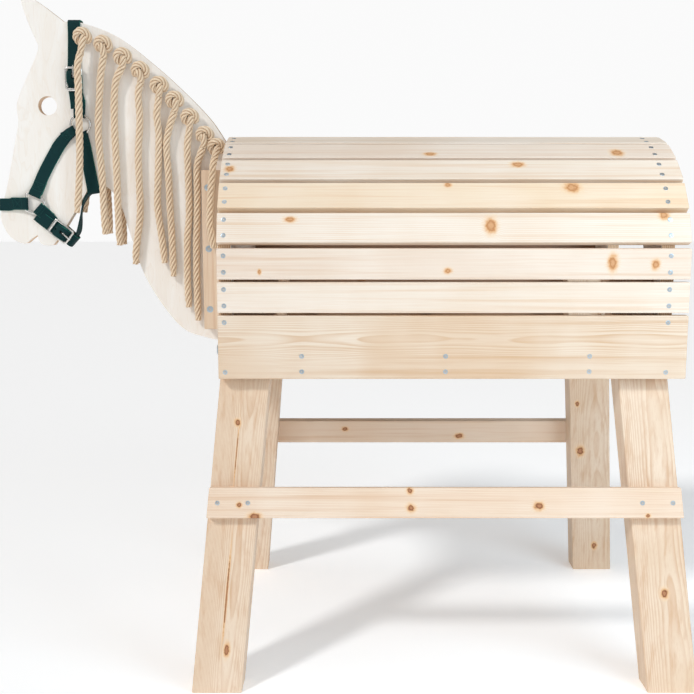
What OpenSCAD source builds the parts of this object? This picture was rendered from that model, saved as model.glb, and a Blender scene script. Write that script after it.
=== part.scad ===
// Slatted wooden garden horse: a barrel of pine slats on two plywood arches, four splayed legs
// with rails, a flat plywood head and neck, a rope mane and a webbing halter with two buckles.
// Millimetres, +Z up, head towards -X, the horse's left side towards -Y.
// The origin lies on the ground under the middle of the horse.

/* [Barrel] */
// Length of the slats and side boards
barrel_len = 690; // [620:5:760]
// Width of one slat
slat_w = 45; // [40:1:50]
// Thickness of the slats and side boards
slat_t = 15; // [12:1:18]
// Gap between neighbouring slats where they sit on the arches
slat_gap = 4; // [2:1:6]
// Height where the straight flank ends and the round back begins
shoulder_z = 658; // [640:1:680]
// Width of the side board below the slats on each flank
side_board_w = 94; // [85:1:100]
// Thickness of the two plywood arches
arch_t = 20; // [18:1:24]
// Width of the arch from its outer edge to its opening
arch_ring = 85; // [70:1:95]
// Distance that the slats stand out behind the rear arch
tail_overhang = 20; // [10:1:30]

/* [Legs and rails] */
// Width of a leg, seen from the side
leg_w = 74; // [65:1:80]
// Thickness of a leg
leg_t = 44; // [36:1:50]
// Outward splay of the legs
leg_splay = 10; // [8:0.5:11]
// Forward or backward lean of the legs
leg_lean = 5; // [3:0.5:6]
// Half of the distance between the outer edges of the feet, across the horse
foot_half = 273; // [265:1:280]
// Height of the legs' upper ends, inside the barrel
leg_top_z = 610; // [560:5:620]
// Height of the rail's middle, measured along the leg
rail_mid = 284; // [240:2:340]
// Width of a rail
rail_h = 45; // [38:1:52]
// Thickness of a rail
rail_t = 16; // [12:1:20]
// Thickness of the three battens between the side boards
batten_t = 28; // [20:1:34]
// Width of the three battens between the side boards
batten_h = 45; // [38:1:48]

/* [Head and mane] */
// Thickness of the plywood head board
head_t = 18; // [15:1:20]
// Radius of the round eye hole
eye_r = 15; // [12:0.5:17]
// Depth of the neck battens, along the horse
neck_batten_d = 44; // [36:1:48]
// Thickness of each neck batten, across the horse
neck_batten_t = 30; // [24:1:34]
// Radius of the mane rope
rope_r = 6; // [5:0.5:6.5]
// Radius of the plain ball that stands for an overhand knot
knot_r = 12; // [9:0.5:12]
// Radius of the holes that the mane is threaded through
rope_hole_r = 7; // [6.8:0.1:8]

/* [Halter] */
// Width of the halter webbing
web_w = 20; // [18:1:20]
// Thickness of the halter webbing
web_t = 1.8; // [1.4:0.1:1.8]
// Radius of the buckle's round bars
bar_r = 1.5; // [1.3:0.1:1.5]
// Radius of the rod that the halter rings are bent from
ring_rod_r = 2; // [1.6:0.1:2]
// Running clearance between a tongue's eye and its bar
tongue_fit = 0.05; // [0.03:0.01:0.08]

/* [Fasteners] */
// Radius of a countersunk screw head
screw_head_r = 3.65; // [3:0.05:4]
// Radius of a screw shank
screw_r = 1.75; // [1.5:0.05:2]
// Length of a wood screw
screw_len = 35; // [30:1:38]
// Radius of the coach bolts that hold the legs to the arches
bolt_r = 4; // [3:0.5:5]
// Length of a coach bolt below its head
bolt_len = 58; // [45:1:60]
// Clearance of every screw and bolt in its hole
hole_fit = 0.1; // [0.05:0.05:0.2]

/* [Hidden] */
$fn = 48;

// The parts are laid out from the barrel's front end; this moves them to the horse's origin.
front_x = -164.8;

pine = "#e8d5b8";
birch = "#f1e9da";
zinc = "#b9c4cc";
nickel = "#d3d3ce";
webbing = "#12423f";
hemp = "#cdaa82";

// --- The round back: each facet of the arch carries one slat -------------------------------
// Tilt of each slat from upright, lowest slat first
slat_tilts = [0, 0, 20, 36, 50, 62, 76];
// The first of them that lies on the round part of the arch
first_round = 2;
pitch = slat_w + slat_gap;
function turn_in(i) = i < first_round ? 0 : pitch * sin(slat_tilts[i]) + turn_in(i - 1);
arch_half = turn_in(6) + pitch / 2;
function arch_corner(i) = i < first_round
    ? [arch_half, shoulder_z]
    : arch_corner(i - 1) + pitch * [-sin(slat_tilts[i]), cos(slat_tilts[i])];
function slat_seat(i) = i < first_round
    ? [arch_half, shoulder_z - pitch * (first_round - 0.5 - i)]
    : (arch_corner(i - 1) + arch_corner(i)) / 2;
arch_top_z = arch_corner(6).y;
side_board_z = shoulder_z - first_round * pitch - slat_gap / 2 - side_board_w / 2;
barrel_bottom_z = side_board_z - side_board_w / 2;
rear_arch_x = barrel_len - tail_overhang - arch_t;
arch_middles = [arch_t / 2, rear_arch_x + arch_t / 2];
horse_mid_x = (rear_arch_x + arch_t) / 2;
slat_screw_half = 12;
board_screw_half = 37;
batten_screw_half = 11.5;
batten_step = 212;
batten_xs = [for (k = [-1:1]) horse_mid_x + k * batten_step];
batten_mid_z = barrel_bottom_z + batten_h / 2;

// --- Legs, rails and bolts -----------------------------------------------------------------
foot_front_x = -barrel_bottom_z / cos(leg_splay) * tan(leg_lean);
leg_blank = 800;
leg_below = 80;
rail_screw_half = 22.5;
bolt_zs = [500, 570];
bolt_head_r = 7.5;
bolt_head_h = 5.5;
washer_r = 9;
washer_t = 1.6;

// --- Head board ----------------------------------------------------------------------------
eye_at = [-294, 875];
batten_bottom_z = 515;
batten_top_z = 772;
neck_screw_x = -34;
neck_screw_zs = [548, 646, 744];
neck_screw_stagger = 25;
neck_screw_head_r = 5.25;
neck_screw_r = 2.5;
neck_screw_len = 62;
panel_screw_zs = [590, 680];

// --- Halter --------------------------------------------------------------------------------
// Middle planes of the halter's layers, measured sideways from the horse's middle
band_y = head_t / 2 + 1.9;
tail_y = band_y + 2;
ring_y = head_t / 2 + 5;
buckle_y = head_t / 2 + 6.5;
over_bar_y = buckle_y + 5;
// Along a buckle, measured from the bar that carries the tongue
keeper_at = -20;
front_bar_at = 14;
buckle_half_w = 12;
side_bar_r = 1.7;
tongue_len = 17.5;
tongue_w = 3;
tongue_t = 1.7;
tongue_eye_wall = 1.3;
slot_half_w = 2.1;
slot_from = -4;
slot_to = 11;
crown_x = -248.5;
crown_bar_z = 920;
crown_top_z = 1008;
cheek_ring_at = [-241, 845];
cheek_ring_r = 15.5;
chin_start = [-320, 711.5];
chin_slope = -43;
chin_bar_s = 59;
chin_turn_s = 82;
throat_start = [-239, 836];
throat_slope = -81;
throat_turn_s = 96;

// --- Mane ----------------------------------------------------------------------------------
// Holes along the crest, from the ears to the withers: [x, z]
mane_holes = [
    [-231, 980], [-198, 968], [-168, 949], [-140, 928], [-111, 905],
    [-87, 882], [-63, 855], [-39, 827], [-21, 808]
];
// Route of each strand on the horse's left, from its cut end up to its knot; the right mirrors it
mane_routes = [
    [[-249, -24, 704], [-245, -25, 738], [-241, -26, 790], [-239, -28, 850],
     [-238, -29, 900], [-238, -29, 934], [-233, -27, 956]],
    [[-206, -17, 669], [-207, -17, 712], [-208, -17, 764], [-211, -17, 812],
     [-211, -17, 848], [-208, -17, 884], [-204, -18, 924], [-199, -19, 948]],
    [[-183, -17, 651], [-184, -17, 712], [-184, -17, 776], [-185, -17, 836],
     [-184, -17, 886], [-180, -18, 914], [-171, -19, 932]],
    [[-158, -17, 620], [-156, -17, 646], [-148, -17, 702], [-148, -17, 752],
     [-148, -17, 800], [-144, -17, 850], [-145, -18, 892], [-141, -19, 910]],
    [[-110, -17, 622], [-113, -17, 658], [-119, -17, 714], [-117, -17, 762],
     [-114, -17, 824], [-116, -18, 860], [-112, -19, 888]],
    [[-96, -17, 600], [-97, -17, 658], [-99, -17, 714], [-100, -17, 764],
     [-102, -17, 812], [-96, -18, 842], [-88, -19, 864]],
    [[-72, -17, 549], [-73, -17, 596], [-72, -17, 658], [-68, -17, 702],
     [-68, -17, 762], [-68, -18, 812], [-64, -19, 838]],
    [[-57, -17, 527], [-58, -17, 596], [-57, -17, 658], [-55.5, -17, 690],
     [-54, -17, 738], [-53, -18, 780], [-43, -19, 808]],
    [[-25, -46, 648], [-29, -46, 671], [-31, -46, 690], [-28, -46, 738],
     [-25, -46.5, 766], [-24, -45.5, 778], [-22, -37, 791]]
];
rope_sides = 8;
knot_y = head_t / 2 + knot_r + 0.4;
knot_drop = 2;

// --- Shared functions ----------------------------------------------------------------------
function unit(v) = v / norm(v);
function along(p, i) = unit(p[min(i + 1, len(p) - 1)] - p[max(i - 1, 0)]);
function wrap(p, i) = p[(i + len(p)) % len(p)];

// Outline of a strip of the given width whose middle follows a path of [x, y] points
function side_step(p, i, w) =
    let (t = along(p, i), n = [-t.y, t.x],
         before = i == 0 ? t : unit(p[i] - p[i - 1]))
    p[i] + n * w / 2 / max(0.5, t * before);
function strip(p, w) = concat(
    [for (i = [0:len(p) - 1]) side_step(p, i, w)],
    [for (i = [len(p) - 1:-1:0]) side_step(p, i, -w)]);

// A smooth curve through the points of one stretch of an outline, its last point left out
function blend(a, b, c, d, t) =
    0.5 * (2 * b + (c - a) * t + (2 * a - 5 * b + 4 * c - d) * t * t
           + (3 * b - a - 3 * c + d) * t * t * t);
curve_steps = 5;
function smooth(p) = [
    for (i = [0:len(p) - 2], s = [0:curve_steps - 1])
        blend(p[max(i - 1, 0)], p[i], p[i + 1], p[min(i + 2, len(p) - 1)], s / curve_steps)
];

// A tube of round section along 3-D points; ref is a direction that the path never follows
function loop_of(p, i, t, r, n, ref) =
    let (u = unit(cross(t, ref)), v = cross(t, u))
    [for (k = [0:n - 1]) p[i] + r * (cos(360 * k / n) * u + sin(360 * k / n) * v)];
function tube_side(i, j, n) = [
    for (k = [0:n - 1]) [i * n + k, j * n + k, j * n + (k + 1) % n, i * n + (k + 1) % n]
];
module tube(p, r, n, ref) {
    last = len(p) - 1;
    points = [for (i = [0:last]) each loop_of(p, i, along(p, i), r, n, ref)];
    sides = [for (i = [0:last - 1]) each tube_side(i, i + 1, n)];
    start_cap = [for (k = [0:n - 1]) k];
    end_cap = [for (k = [n - 1:-1:0]) last * n + k];
    polyhedron(points, concat([start_cap], sides, [end_cap]));
}
module closed_tube(p, r, n, ref) {
    last = len(p) - 1;
    points = [
        for (i = [0:last])
            each loop_of(p, i, unit(wrap(p, i + 1) - wrap(p, i - 1)), r, n, ref)
    ];
    sides = [for (i = [0:last]) each tube_side(i, (i + 1) % len(p), n)];
    polyhedron(points, sides);
}

// --- Places --------------------------------------------------------------------------------
module from_front() {
    translate([front_x, 0, 0]) children();
}
// side is 1 on the horse's right (+Y) and -1 on its left (-Y)
module on_side(side) {
    mirror([0, side < 0 ? 1 : 0, 0]) children();
}
// Outer face of slat i's seat on the right side: local Z points out of the barrel
module at_seat(i) {
    translate([0, slat_seat(i).x, slat_seat(i).y]) rotate([slat_tilts[i] - 90, 0, 0]) children();
}
module at_side_board() {
    translate([0, arch_half, side_board_z]) rotate([-90, 0, 0]) children();
}
module at_ridge() {
    translate([0, 0, arch_top_z]) children();
}
module slat_screw_places() {
    for (x = arch_middles, u = [-1, 1])
        translate([x, u * slat_screw_half, slat_t]) children();
}
module board_screw_places() {
    for (x = arch_middles, u = [-1, 1])
        translate([x, u * board_screw_half, slat_t]) children();
    for (x = batten_xs, u = [-1, 1])
        translate([x, side_board_z - batten_mid_z + u * batten_screw_half, slat_t]) children();
}
module barrel_screw_places() {
    for (side = [-1, 1]) {
        on_side(side) for (i = [0:6]) at_seat(i) slat_screw_places() children();
        on_side(side) at_side_board() board_screw_places() children();
    }
    at_ridge() slat_screw_places() children();
}
// The plane of the outer faces of one side's legs: local Z runs up along the legs
module at_leg_plane(side) {
    on_side(side) translate([0, foot_half, 0]) rotate([leg_splay, 0, 0]) children();
}
module at_leg_end(end) {
    translate([end < 0 ? 2 * horse_mid_x : 0, 0, 0]) mirror([end < 0 ? 1 : 0, 0, 0]) children();
}
module rail_screw_places(end) {
    leg_mid_x = foot_front_x + rail_mid * tan(leg_lean) + leg_w / 2 / cos(leg_lean);
    at_leg_end(end) for (k = [-1, 1])
        translate([leg_mid_x + k * rail_screw_half, rail_t, rail_mid])
            rotate([-90, 0, 0]) children();
}
module bolt_places(side, end) {
    on_side(side) at_leg_end(end) for (z = bolt_zs)
        translate([0, foot_half - z * tan(leg_splay) - leg_t / 2, z]) rotate([0, -90, 0]) children();
}
module neck_screw_places(side) {
    stagger = side > 0 ? neck_screw_stagger : 0;
    on_side(side) for (z = neck_screw_zs)
        translate([neck_screw_x, head_t / 2 + neck_batten_t, z - stagger])
            rotate([-90, 0, 0]) children();
}
module panel_screw_places(side) {
    on_side(side) for (z = panel_screw_zs)
        translate([arch_t, head_t / 2 + neck_batten_t / 2, z]) rotate([0, 90, 0]) children();
}
// Along a strap: local X follows the strap in the head's plane, local Z is across its width
module along_strap(at, slope) {
    translate([at.x, 0, at.y]) rotate([0, -slope, 0]) children();
}

// --- Fasteners -----------------------------------------------------------------------------
// A countersunk screw with its head's flat face at z = 0 and its shank downwards
module screw(head_r, r, length) {
    head_h = head_r - r;
    tip_h = 2 * r;
    slot_w = head_r * 0.26;
    difference() {
        union() {
            translate([0, 0, -head_h]) cylinder(h = head_h, r1 = r, r2 = head_r);
            translate([0, 0, tip_h - length]) cylinder(h = length - tip_h - head_h, r = r);
            translate([0, 0, -length]) cylinder(h = tip_h, r1 = r / 8, r2 = r);
        }
        for (turn = [0, 90])
            rotate([0, 0, turn])
                translate([-head_r * 0.6, -slot_w / 2, -head_h * 0.7])
                    cube([head_r * 1.2, slot_w, head_h]);
    }
}
module screw_hole(head_r, r, length) {
    head_h = head_r - r;
    translate([0, 0, -head_h])
        cylinder(h = head_h + hole_fit, r1 = r + hole_fit, r2 = head_r + 2 * hole_fit);
    translate([0, 0, -length - hole_fit]) cylinder(h = length + 1, r = r + hole_fit);
}
module wood_hole() {
    screw_hole(screw_head_r, screw_r, screw_len);
}
module neck_hole() {
    screw_hole(neck_screw_head_r, neck_screw_r, neck_screw_len);
}
module coach_bolt() {
    translate([0, 0, washer_t]) cylinder(h = bolt_head_h, r = bolt_head_r, $fn = 6);
    translate([0, 0, -bolt_len]) cylinder(h = bolt_len + washer_t, r = bolt_r);
}
module bolt_washer() {
    difference() {
        cylinder(h = washer_t, r = washer_r);
        translate([0, 0, -1]) cylinder(h = washer_t + 2, r = bolt_r + hole_fit);
    }
}
module bolt_hole() {
    translate([0, 0, -bolt_len - 1]) cylinder(h = bolt_len + 2, r = bolt_r + hole_fit);
}

// --- Barrel --------------------------------------------------------------------------------
module slat() {
    difference() {
        translate([0, -slat_w / 2, 0]) cube([barrel_len, slat_w, slat_t]);
        slat_screw_places() wood_hole();
    }
}
module flank_slat(side, i) {
    color(pine) from_front() on_side(side) at_seat(i) slat();
}
module ridge_slat() {
    color(pine) from_front() at_ridge() slat();
}
module side_board(side) {
    color(pine) from_front() on_side(side) at_side_board() difference() {
        translate([0, -side_board_w / 2, 0]) cube([barrel_len, side_board_w, slat_t]);
        board_screw_places() wood_hole();
    }
}
module arch_plate() {
    right_half = concat([[arch_half, barrel_bottom_z]], [for (i = [1:6]) arch_corner(i)]);
    left_half = [for (i = [len(right_half) - 1:-1:0]) [-right_half[i].x, right_half[i].y]];
    rotate([90, 0, 90]) linear_extrude(arch_t) polygon(concat(right_half, left_half));
}
module front_panel() {
    color(birch) from_front() difference() {
        arch_plate();
        barrel_screw_places() wood_hole();
        for (side = [-1, 1]) {
            bolt_places(side, 1) bolt_hole();
            panel_screw_places(side) neck_hole();
        }
    }
}
module rear_arch() {
    opening_half = arch_half - arch_ring;
    opening_z = arch_top_z - arch_ring - opening_half;
    color(birch) from_front() difference() {
        translate([rear_arch_x, 0, 0]) arch_plate();
        translate([rear_arch_x - 1, -opening_half, barrel_bottom_z - 1])
            cube([arch_t + 2, 2 * opening_half, opening_z - barrel_bottom_z + 1]);
        translate([rear_arch_x - 1, 0, opening_z]) rotate([0, 90, 0])
            cylinder(h = arch_t + 2, r = opening_half);
        barrel_screw_places() wood_hole();
        for (side = [-1, 1]) bolt_places(side, -1) bolt_hole();
    }
}
module cross_batten(k) {
    color(pine) from_front() difference() {
        translate([batten_xs[k] - batten_t / 2, -arch_half, barrel_bottom_z])
            cube([batten_t, 2 * arch_half, batten_h]);
        for (side = [-1, 1]) on_side(side) at_side_board() board_screw_places() wood_hole();
    }
}

// --- Legs and rails ------------------------------------------------------------------------
module leg(side, end) {
    blank_half = 400;
    color(pine) from_front() difference() {
        intersection() {
            at_leg_plane(side) at_leg_end(end) translate([foot_front_x, 0, 0])
                rotate([0, leg_lean, 0]) translate([0, -leg_t, -leg_below])
                    cube([leg_w, leg_t, leg_blank]);
            translate([-blank_half, -blank_half, 0])
                cube([barrel_len + 2 * blank_half, 2 * blank_half, leg_top_z]);
        }
        at_leg_end(end) translate([-blank_half, -blank_half, barrel_bottom_z])
            cube([blank_half + arch_t, 2 * blank_half, blank_half]);
        bolt_places(side, end) bolt_hole();
        at_leg_plane(side) rail_screw_places(end) wood_hole();
    }
}
module rail(side) {
    low = rail_mid - rail_h / 2;
    high = rail_mid + rail_h / 2;
    function front_at(w) = foot_front_x + w * tan(leg_lean);
    function rear_at(w) = 2 * horse_mid_x - front_at(w);
    color(pine) from_front() at_leg_plane(side) difference() {
        translate([0, rail_t, 0]) rotate([90, 0, 0]) linear_extrude(rail_t)
            polygon([[front_at(low), low], [rear_at(low), low],
                     [rear_at(high), high], [front_at(high), high]]);
        for (end = [-1, 1]) rail_screw_places(end) wood_hole();
    }
}
module wood_screws() {
    color(zinc) from_front() {
        barrel_screw_places() screw(screw_head_r, screw_r, screw_len);
        for (side = [-1, 1], end = [-1, 1])
            at_leg_plane(side) rail_screw_places(end) screw(screw_head_r, screw_r, screw_len);
    }
}
module neck_screws() {
    color(zinc) from_front() for (side = [-1, 1]) {
        neck_screw_places(side) screw(neck_screw_head_r, neck_screw_r, neck_screw_len);
        panel_screw_places(side) screw(neck_screw_head_r, neck_screw_r, neck_screw_len);
    }
}
module leg_bolts() {
    color(zinc) from_front() for (side = [-1, 1], end = [-1, 1]) {
        bolt_places(side, end) coach_bolt();
        bolt_places(side, end) bolt_washer();
    }
}

// --- Head ----------------------------------------------------------------------------------
crest = [[0, 806], [-30, 852], [-74, 898], [-122, 941], [-178, 983], [-236, 1005], [-262, 1006]];
ear_back = [[-262, 1006], [-292, 1029], [-316, 1045], [-331, 1052]];
ear_front = [[-331, 1052], [-327, 1028], [-316, 996], [-305, 970]];
face = [[-305, 970], [-309, 954], [-338, 894], [-344, 872], [-343, 848], [-352, 806],
        [-366, 746], [-377, 708], [-377, 688], [-364, 664], [-342, 653], [-329, 661], [-320, 667]];
lip_and_jaw = [[-320, 667], [-314, 653], [-299, 650], [-288, 658], [-254, 709], [-231, 746]];
throat = [[-231, 746], [-202, 745], [-181, 715], [-165, 662], [-140, 590], [-90, 518],
          [-45, 497], [0, 490]];
head_outline = concat(
    smooth(crest), smooth(ear_back), smooth(ear_front), smooth(face),
    smooth(lip_and_jaw), smooth(throat), [[0, 490]]);

module head_board() {
    color(birch) from_front() difference() {
        rotate([90, 0, 0]) linear_extrude(head_t, center = true) polygon(head_outline);
        translate([eye_at.x, 0, eye_at.y]) rotate([90, 0, 0])
            cylinder(h = head_t + 2, r = eye_r, center = true);
        for (hole = mane_holes) translate([hole.x, 0, hole.y]) rotate([90, 0, 0])
            cylinder(h = head_t + 2, r = rope_hole_r, center = true);
        for (side = [-1, 1]) neck_screw_places(side) neck_hole();
    }
}
module neck_batten(side) {
    color(pine) from_front() difference() {
        on_side(side) translate([-neck_batten_d, head_t / 2, batten_bottom_z])
            cube([neck_batten_d, neck_batten_t, batten_top_z - batten_bottom_z]);
        for (s = [-1, 1]) neck_screw_places(s) neck_hole();
        panel_screw_places(side) neck_hole();
    }
}

// --- Halter --------------------------------------------------------------------------------
// A strap bent edge-on along [distance, y] points
module bent_strap(path) {
    linear_extrude(web_w, center = true) polygon(strip(path, web_t));
}
// A flat strap on one side of the head, its middle following [x, z] points
module flat_strap(side, path) {
    on_side(side) translate([0, band_y + web_t / 2, 0]) rotate([90, 0, 0])
        linear_extrude(web_t) polygon(strip(path, web_w));
}
// The part of a strap that runs under a buckle's keeper, over its bar and under its front bar
function buckled(bar) = [
    [bar + keeper_at + 4, -tail_y], [bar - 6, -over_bar_y], [bar + 3, -over_bar_y],
    [bar + front_bar_at - 2, -tail_y]
];
module tongue_slot(bar) {
    translate([bar + slot_from, -over_bar_y - 4, -slot_half_w])
        cube([slot_to - slot_from, 10, 2 * slot_half_w]);
}
module buckle_frame() {
    color(nickel) translate([0, -buckle_y, 0]) {
        for (s = [keeper_at, 0, front_bar_at])
            translate([s, 0, 0]) cylinder(h = 2 * buckle_half_w, r = bar_r, center = true);
        for (z = [-1, 1])
            translate([keeper_at - bar_r, 0, z * buckle_half_w]) rotate([0, 90, 0])
                cylinder(h = front_bar_at - keeper_at + 2 * bar_r, r = side_bar_r);
    }
}
module buckle_tongue() {
    eye_out = bar_r + tongue_fit + tongue_eye_wall;
    color(nickel) translate([0, -buckle_y, 0]) difference() {
        union() {
            cylinder(h = tongue_w, r = eye_out, center = true);
            translate([0, -bar_r - 0.2 - tongue_t, -tongue_w / 2])
                cube([tongue_len, tongue_t, tongue_w]);
        }
        cylinder(h = tongue_w + 2, r = bar_r + tongue_fit, center = true);
    }
}
module crown_strap() {
    near_end = cheek_ring_at.y + cheek_ring_r + 9;
    far_end = cheek_ring_at.y + 5;
    turn_y = band_y - 2;
    color(webbing) from_front() along_strap([crown_x, 0], 90) difference() {
        bent_strap(concat(
            [[near_end, -tail_y]], buckled(crown_bar_z),
            [[crown_bar_z + front_bar_at + 16, -band_y], [crown_top_z - 2, -band_y],
             [crown_top_z, -turn_y], [crown_top_z, turn_y], [crown_top_z - 2, band_y],
             [far_end, band_y]]));
        tongue_slot(crown_bar_z);
    }
}
module crown_chape() {
    color(webbing) from_front() along_strap([crown_x + 3.5, 0], 90)
        bent_strap([[cheek_ring_at.y + 5, -band_y], [crown_bar_z + 3, -band_y]]);
}
module crown_buckle_frame() {
    from_front() along_strap([crown_x, crown_bar_z], 90) buckle_frame();
}
module crown_buckle_tongue() {
    from_front() along_strap([crown_x, crown_bar_z], 90) buckle_tongue();
}
module cheek_ring(side) {
    color(nickel) from_front() translate([cheek_ring_at.x, side * ring_y, cheek_ring_at.y])
        rotate([90, 0, 0]) rotate_extrude() translate([cheek_ring_r, 0]) circle(r = ring_rod_r);
}
module cheek_strap(side) {
    color(webbing) from_front()
        flat_strap(side, [[-318, 735], [-309, 757], [-298, 782], [-282, 808], [-260, 833]]);
}
module throat_strap() {
    turn = throat_turn_s;
    color(webbing) from_front() along_strap(throat_start, throat_slope)
        bent_strap([[0, -band_y], [turn - 3, -band_y], [turn, 3 - band_y],
                    [turn, band_y - 3], [turn - 3, band_y], [0, band_y]]);
}
module jaw_strap() {
    jaw_w = web_w - 1;
    route = [[-226, 739], [-237, 728], [-243, 713], [-246, 698], [-248, 684], [-252, 668]];
    color(webbing) from_front() translate([0, jaw_w / 2, 0]) rotate([90, 0, 0])
        linear_extrude(jaw_w) polygon(strip(route, web_t));
}
module nose_ring(side) {
    corners = [[-331.5, 733], [-303.5, 720], [-322, 703], [-333.5, 708.5]];
    bend = 0.16;
    path = [
        for (i = [0:3], t = [-bend, 0, bend])
            let (here = corners[i],
                 to = t < 0 ? wrap(corners, i - 1) : wrap(corners, i + 1),
                 p = here + (to - here) * abs(t),
                 inward = unit((wrap(corners, i - 1) + wrap(corners, i + 1)) / 2 - here),
                 q = t == 0 ? p + inward * 1.2 : p)
            [q.x, side * ring_y, q.y]
    ];
    color(nickel) from_front() closed_tube(path, ring_rod_r, rope_sides, [0, 1, 0]);
}
module noseband() {
    front = -381;
    color(webbing) from_front() translate([0, 0, 717])
        bent_strap([[-331, -band_y], [front + 3, -band_y], [front, 3 - band_y],
                    [front, band_y - 3], [front + 3, band_y], [-331, band_y]]);
}
module chin_strap() {
    turn = chin_turn_s;
    color(webbing) from_front() along_strap(chin_start, chin_slope) difference() {
        bent_strap(concat(
            [[9, -tail_y]], buckled(chin_bar_s),
            [[turn - 3, -tail_y], [turn, 4 - tail_y], [turn, band_y - 3],
             [turn - 3, band_y], [6, band_y]]));
        tongue_slot(chin_bar_s);
    }
}
module chin_chape() {
    color(webbing) from_front() along_strap(chin_start, chin_slope)
        bent_strap([[6, -band_y], [chin_bar_s + 3, -band_y]]);
}
module chin_buckle_frame() {
    from_front() along_strap(
        chin_start + chin_bar_s * [cos(chin_slope), sin(chin_slope)], chin_slope) buckle_frame();
}
module chin_buckle_tongue() {
    from_front() along_strap(
        chin_start + chin_bar_s * [cos(chin_slope), sin(chin_slope)], chin_slope) buckle_tongue();
}

// --- Mane ----------------------------------------------------------------------------------
module mane_rope(k) {
    hole = mane_holes[k];
    half = concat(mane_routes[k], [
        [hole.x, -head_t / 2 - 7, hole.y - 4], [hole.x, -head_t / 2 + 1, hole.y]]);
    other = [for (i = [len(half) - 1:-1:0]) [half[i].x, -half[i].y, half[i].z]];
    color(hemp) from_front() union() {
        tube(concat(half, other), rope_r, rope_sides, [1, 0, 0]);
        for (side = [-1, 1])
            translate([hole.x, side * knot_y, hole.y - knot_drop]) sphere(r = knot_r, $fn = 12);
    }
}

head_board();
neck_batten(-1);  // neck_batten_left
neck_batten(1);  // neck_batten_right
front_panel();
rear_arch();
side_board(-1);  // side_board_left
side_board(1);  // side_board_right
ridge_slat();
flank_slat(-1, 0);  // slat_left_1
flank_slat(-1, 1);  // slat_left_2
flank_slat(-1, 2);  // slat_left_3
flank_slat(-1, 3);  // slat_left_4
flank_slat(-1, 4);  // slat_left_5
flank_slat(-1, 5);  // slat_left_6
flank_slat(-1, 6);  // slat_left_7
flank_slat(1, 0);  // slat_right_1
flank_slat(1, 1);  // slat_right_2
flank_slat(1, 2);  // slat_right_3
flank_slat(1, 3);  // slat_right_4
flank_slat(1, 4);  // slat_right_5
flank_slat(1, 5);  // slat_right_6
flank_slat(1, 6);  // slat_right_7
cross_batten(0);  // cross_batten_1
cross_batten(1);  // cross_batten_2
cross_batten(2);  // cross_batten_3
leg(-1, 1);  // leg_front_left
leg(1, 1);  // leg_front_right
leg(-1, -1);  // leg_rear_left
leg(1, -1);  // leg_rear_right
rail(-1);  // rail_left
rail(1);  // rail_right
wood_screws();
neck_screws();
leg_bolts();
crown_strap();
crown_chape();
crown_buckle_frame();
crown_buckle_tongue();
cheek_ring(-1);  // cheek_ring_left
cheek_ring(1);  // cheek_ring_right
cheek_strap(-1);  // cheek_strap_left
cheek_strap(1);  // cheek_strap_right
throat_strap();
jaw_strap();
nose_ring(-1);  // nose_ring_left
nose_ring(1);  // nose_ring_right
noseband();
chin_strap();
chin_chape();
chin_buckle_frame();
chin_buckle_tongue();
mane_rope(0);  // mane_rope_1
mane_rope(1);  // mane_rope_2
mane_rope(2);  // mane_rope_3
mane_rope(3);  // mane_rope_4
mane_rope(4);  // mane_rope_5
mane_rope(5);  // mane_rope_6
mane_rope(6);  // mane_rope_7
mane_rope(7);  // mane_rope_8
mane_rope(8);  // mane_rope_9
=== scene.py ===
# Looks of the slatted garden horse: pine boards, plywood head, rope mane, webbing halter, screws.
# Metres, +Z up, head towards -X, the horse's left side and the camera towards -Y.
import math
import random

import bmesh
import bpy
import numpy as np
from mathutils import Matrix, Vector


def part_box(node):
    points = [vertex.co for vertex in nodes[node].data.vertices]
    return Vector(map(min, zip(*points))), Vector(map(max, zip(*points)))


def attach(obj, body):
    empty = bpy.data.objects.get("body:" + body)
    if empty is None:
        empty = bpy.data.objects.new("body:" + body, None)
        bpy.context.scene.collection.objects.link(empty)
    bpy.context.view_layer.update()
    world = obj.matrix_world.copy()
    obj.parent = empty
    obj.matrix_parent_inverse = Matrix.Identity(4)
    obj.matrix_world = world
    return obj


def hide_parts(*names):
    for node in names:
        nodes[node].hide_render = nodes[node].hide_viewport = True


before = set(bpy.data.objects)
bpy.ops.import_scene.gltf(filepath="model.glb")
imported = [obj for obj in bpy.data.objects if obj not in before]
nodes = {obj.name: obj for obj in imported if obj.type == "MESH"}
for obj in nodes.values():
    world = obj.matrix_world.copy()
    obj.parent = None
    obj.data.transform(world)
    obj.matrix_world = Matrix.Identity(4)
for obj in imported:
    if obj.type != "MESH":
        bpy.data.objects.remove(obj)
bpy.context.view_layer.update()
scene = bpy.context.scene

FRONT_X = -164.8  # the barrel's front end, mm
HEAD_T = 18  # the head board's thickness, mm
MM = 0.001


def at(x, y, z):
    """A point measured in millimetres from the barrel's front end, in the row frame."""
    return Vector(((x + FRONT_X) * MM, y * MM, z * MM))


def linked(name, data):
    obj = bpy.data.objects.new(name, data)
    scene.collection.objects.link(obj)
    return obj


def belongs(piece, body, slot, *stands_for):
    """Puts a piece on its body, in the place of the CAD nodes it stands for, which are hidden; slot
    is not used.
    """
    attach(piece, body)
    if stands_for:
        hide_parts(*stands_for)


def middle(node):
    low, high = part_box(node)
    return (low + high) / 2


# --- Camera --------------------------------------------------------------------------------
CAMERA_AT = (0.0250, -1.6834, 0.7350)
CAMERA_DOWN = 8.63  # degrees below level
LENS = 52.48


def make_camera():
    data = bpy.data.cameras.new("camera")
    data.lens = LENS
    data.sensor_width = 36
    data.clip_start = 0.05
    data.clip_end = 60
    scene.camera = linked("camera", data)
    scene.camera.location = CAMERA_AT
    scene.camera.rotation_euler = (math.radians(90 - CAMERA_DOWN), 0, 0)


make_camera()


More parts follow.
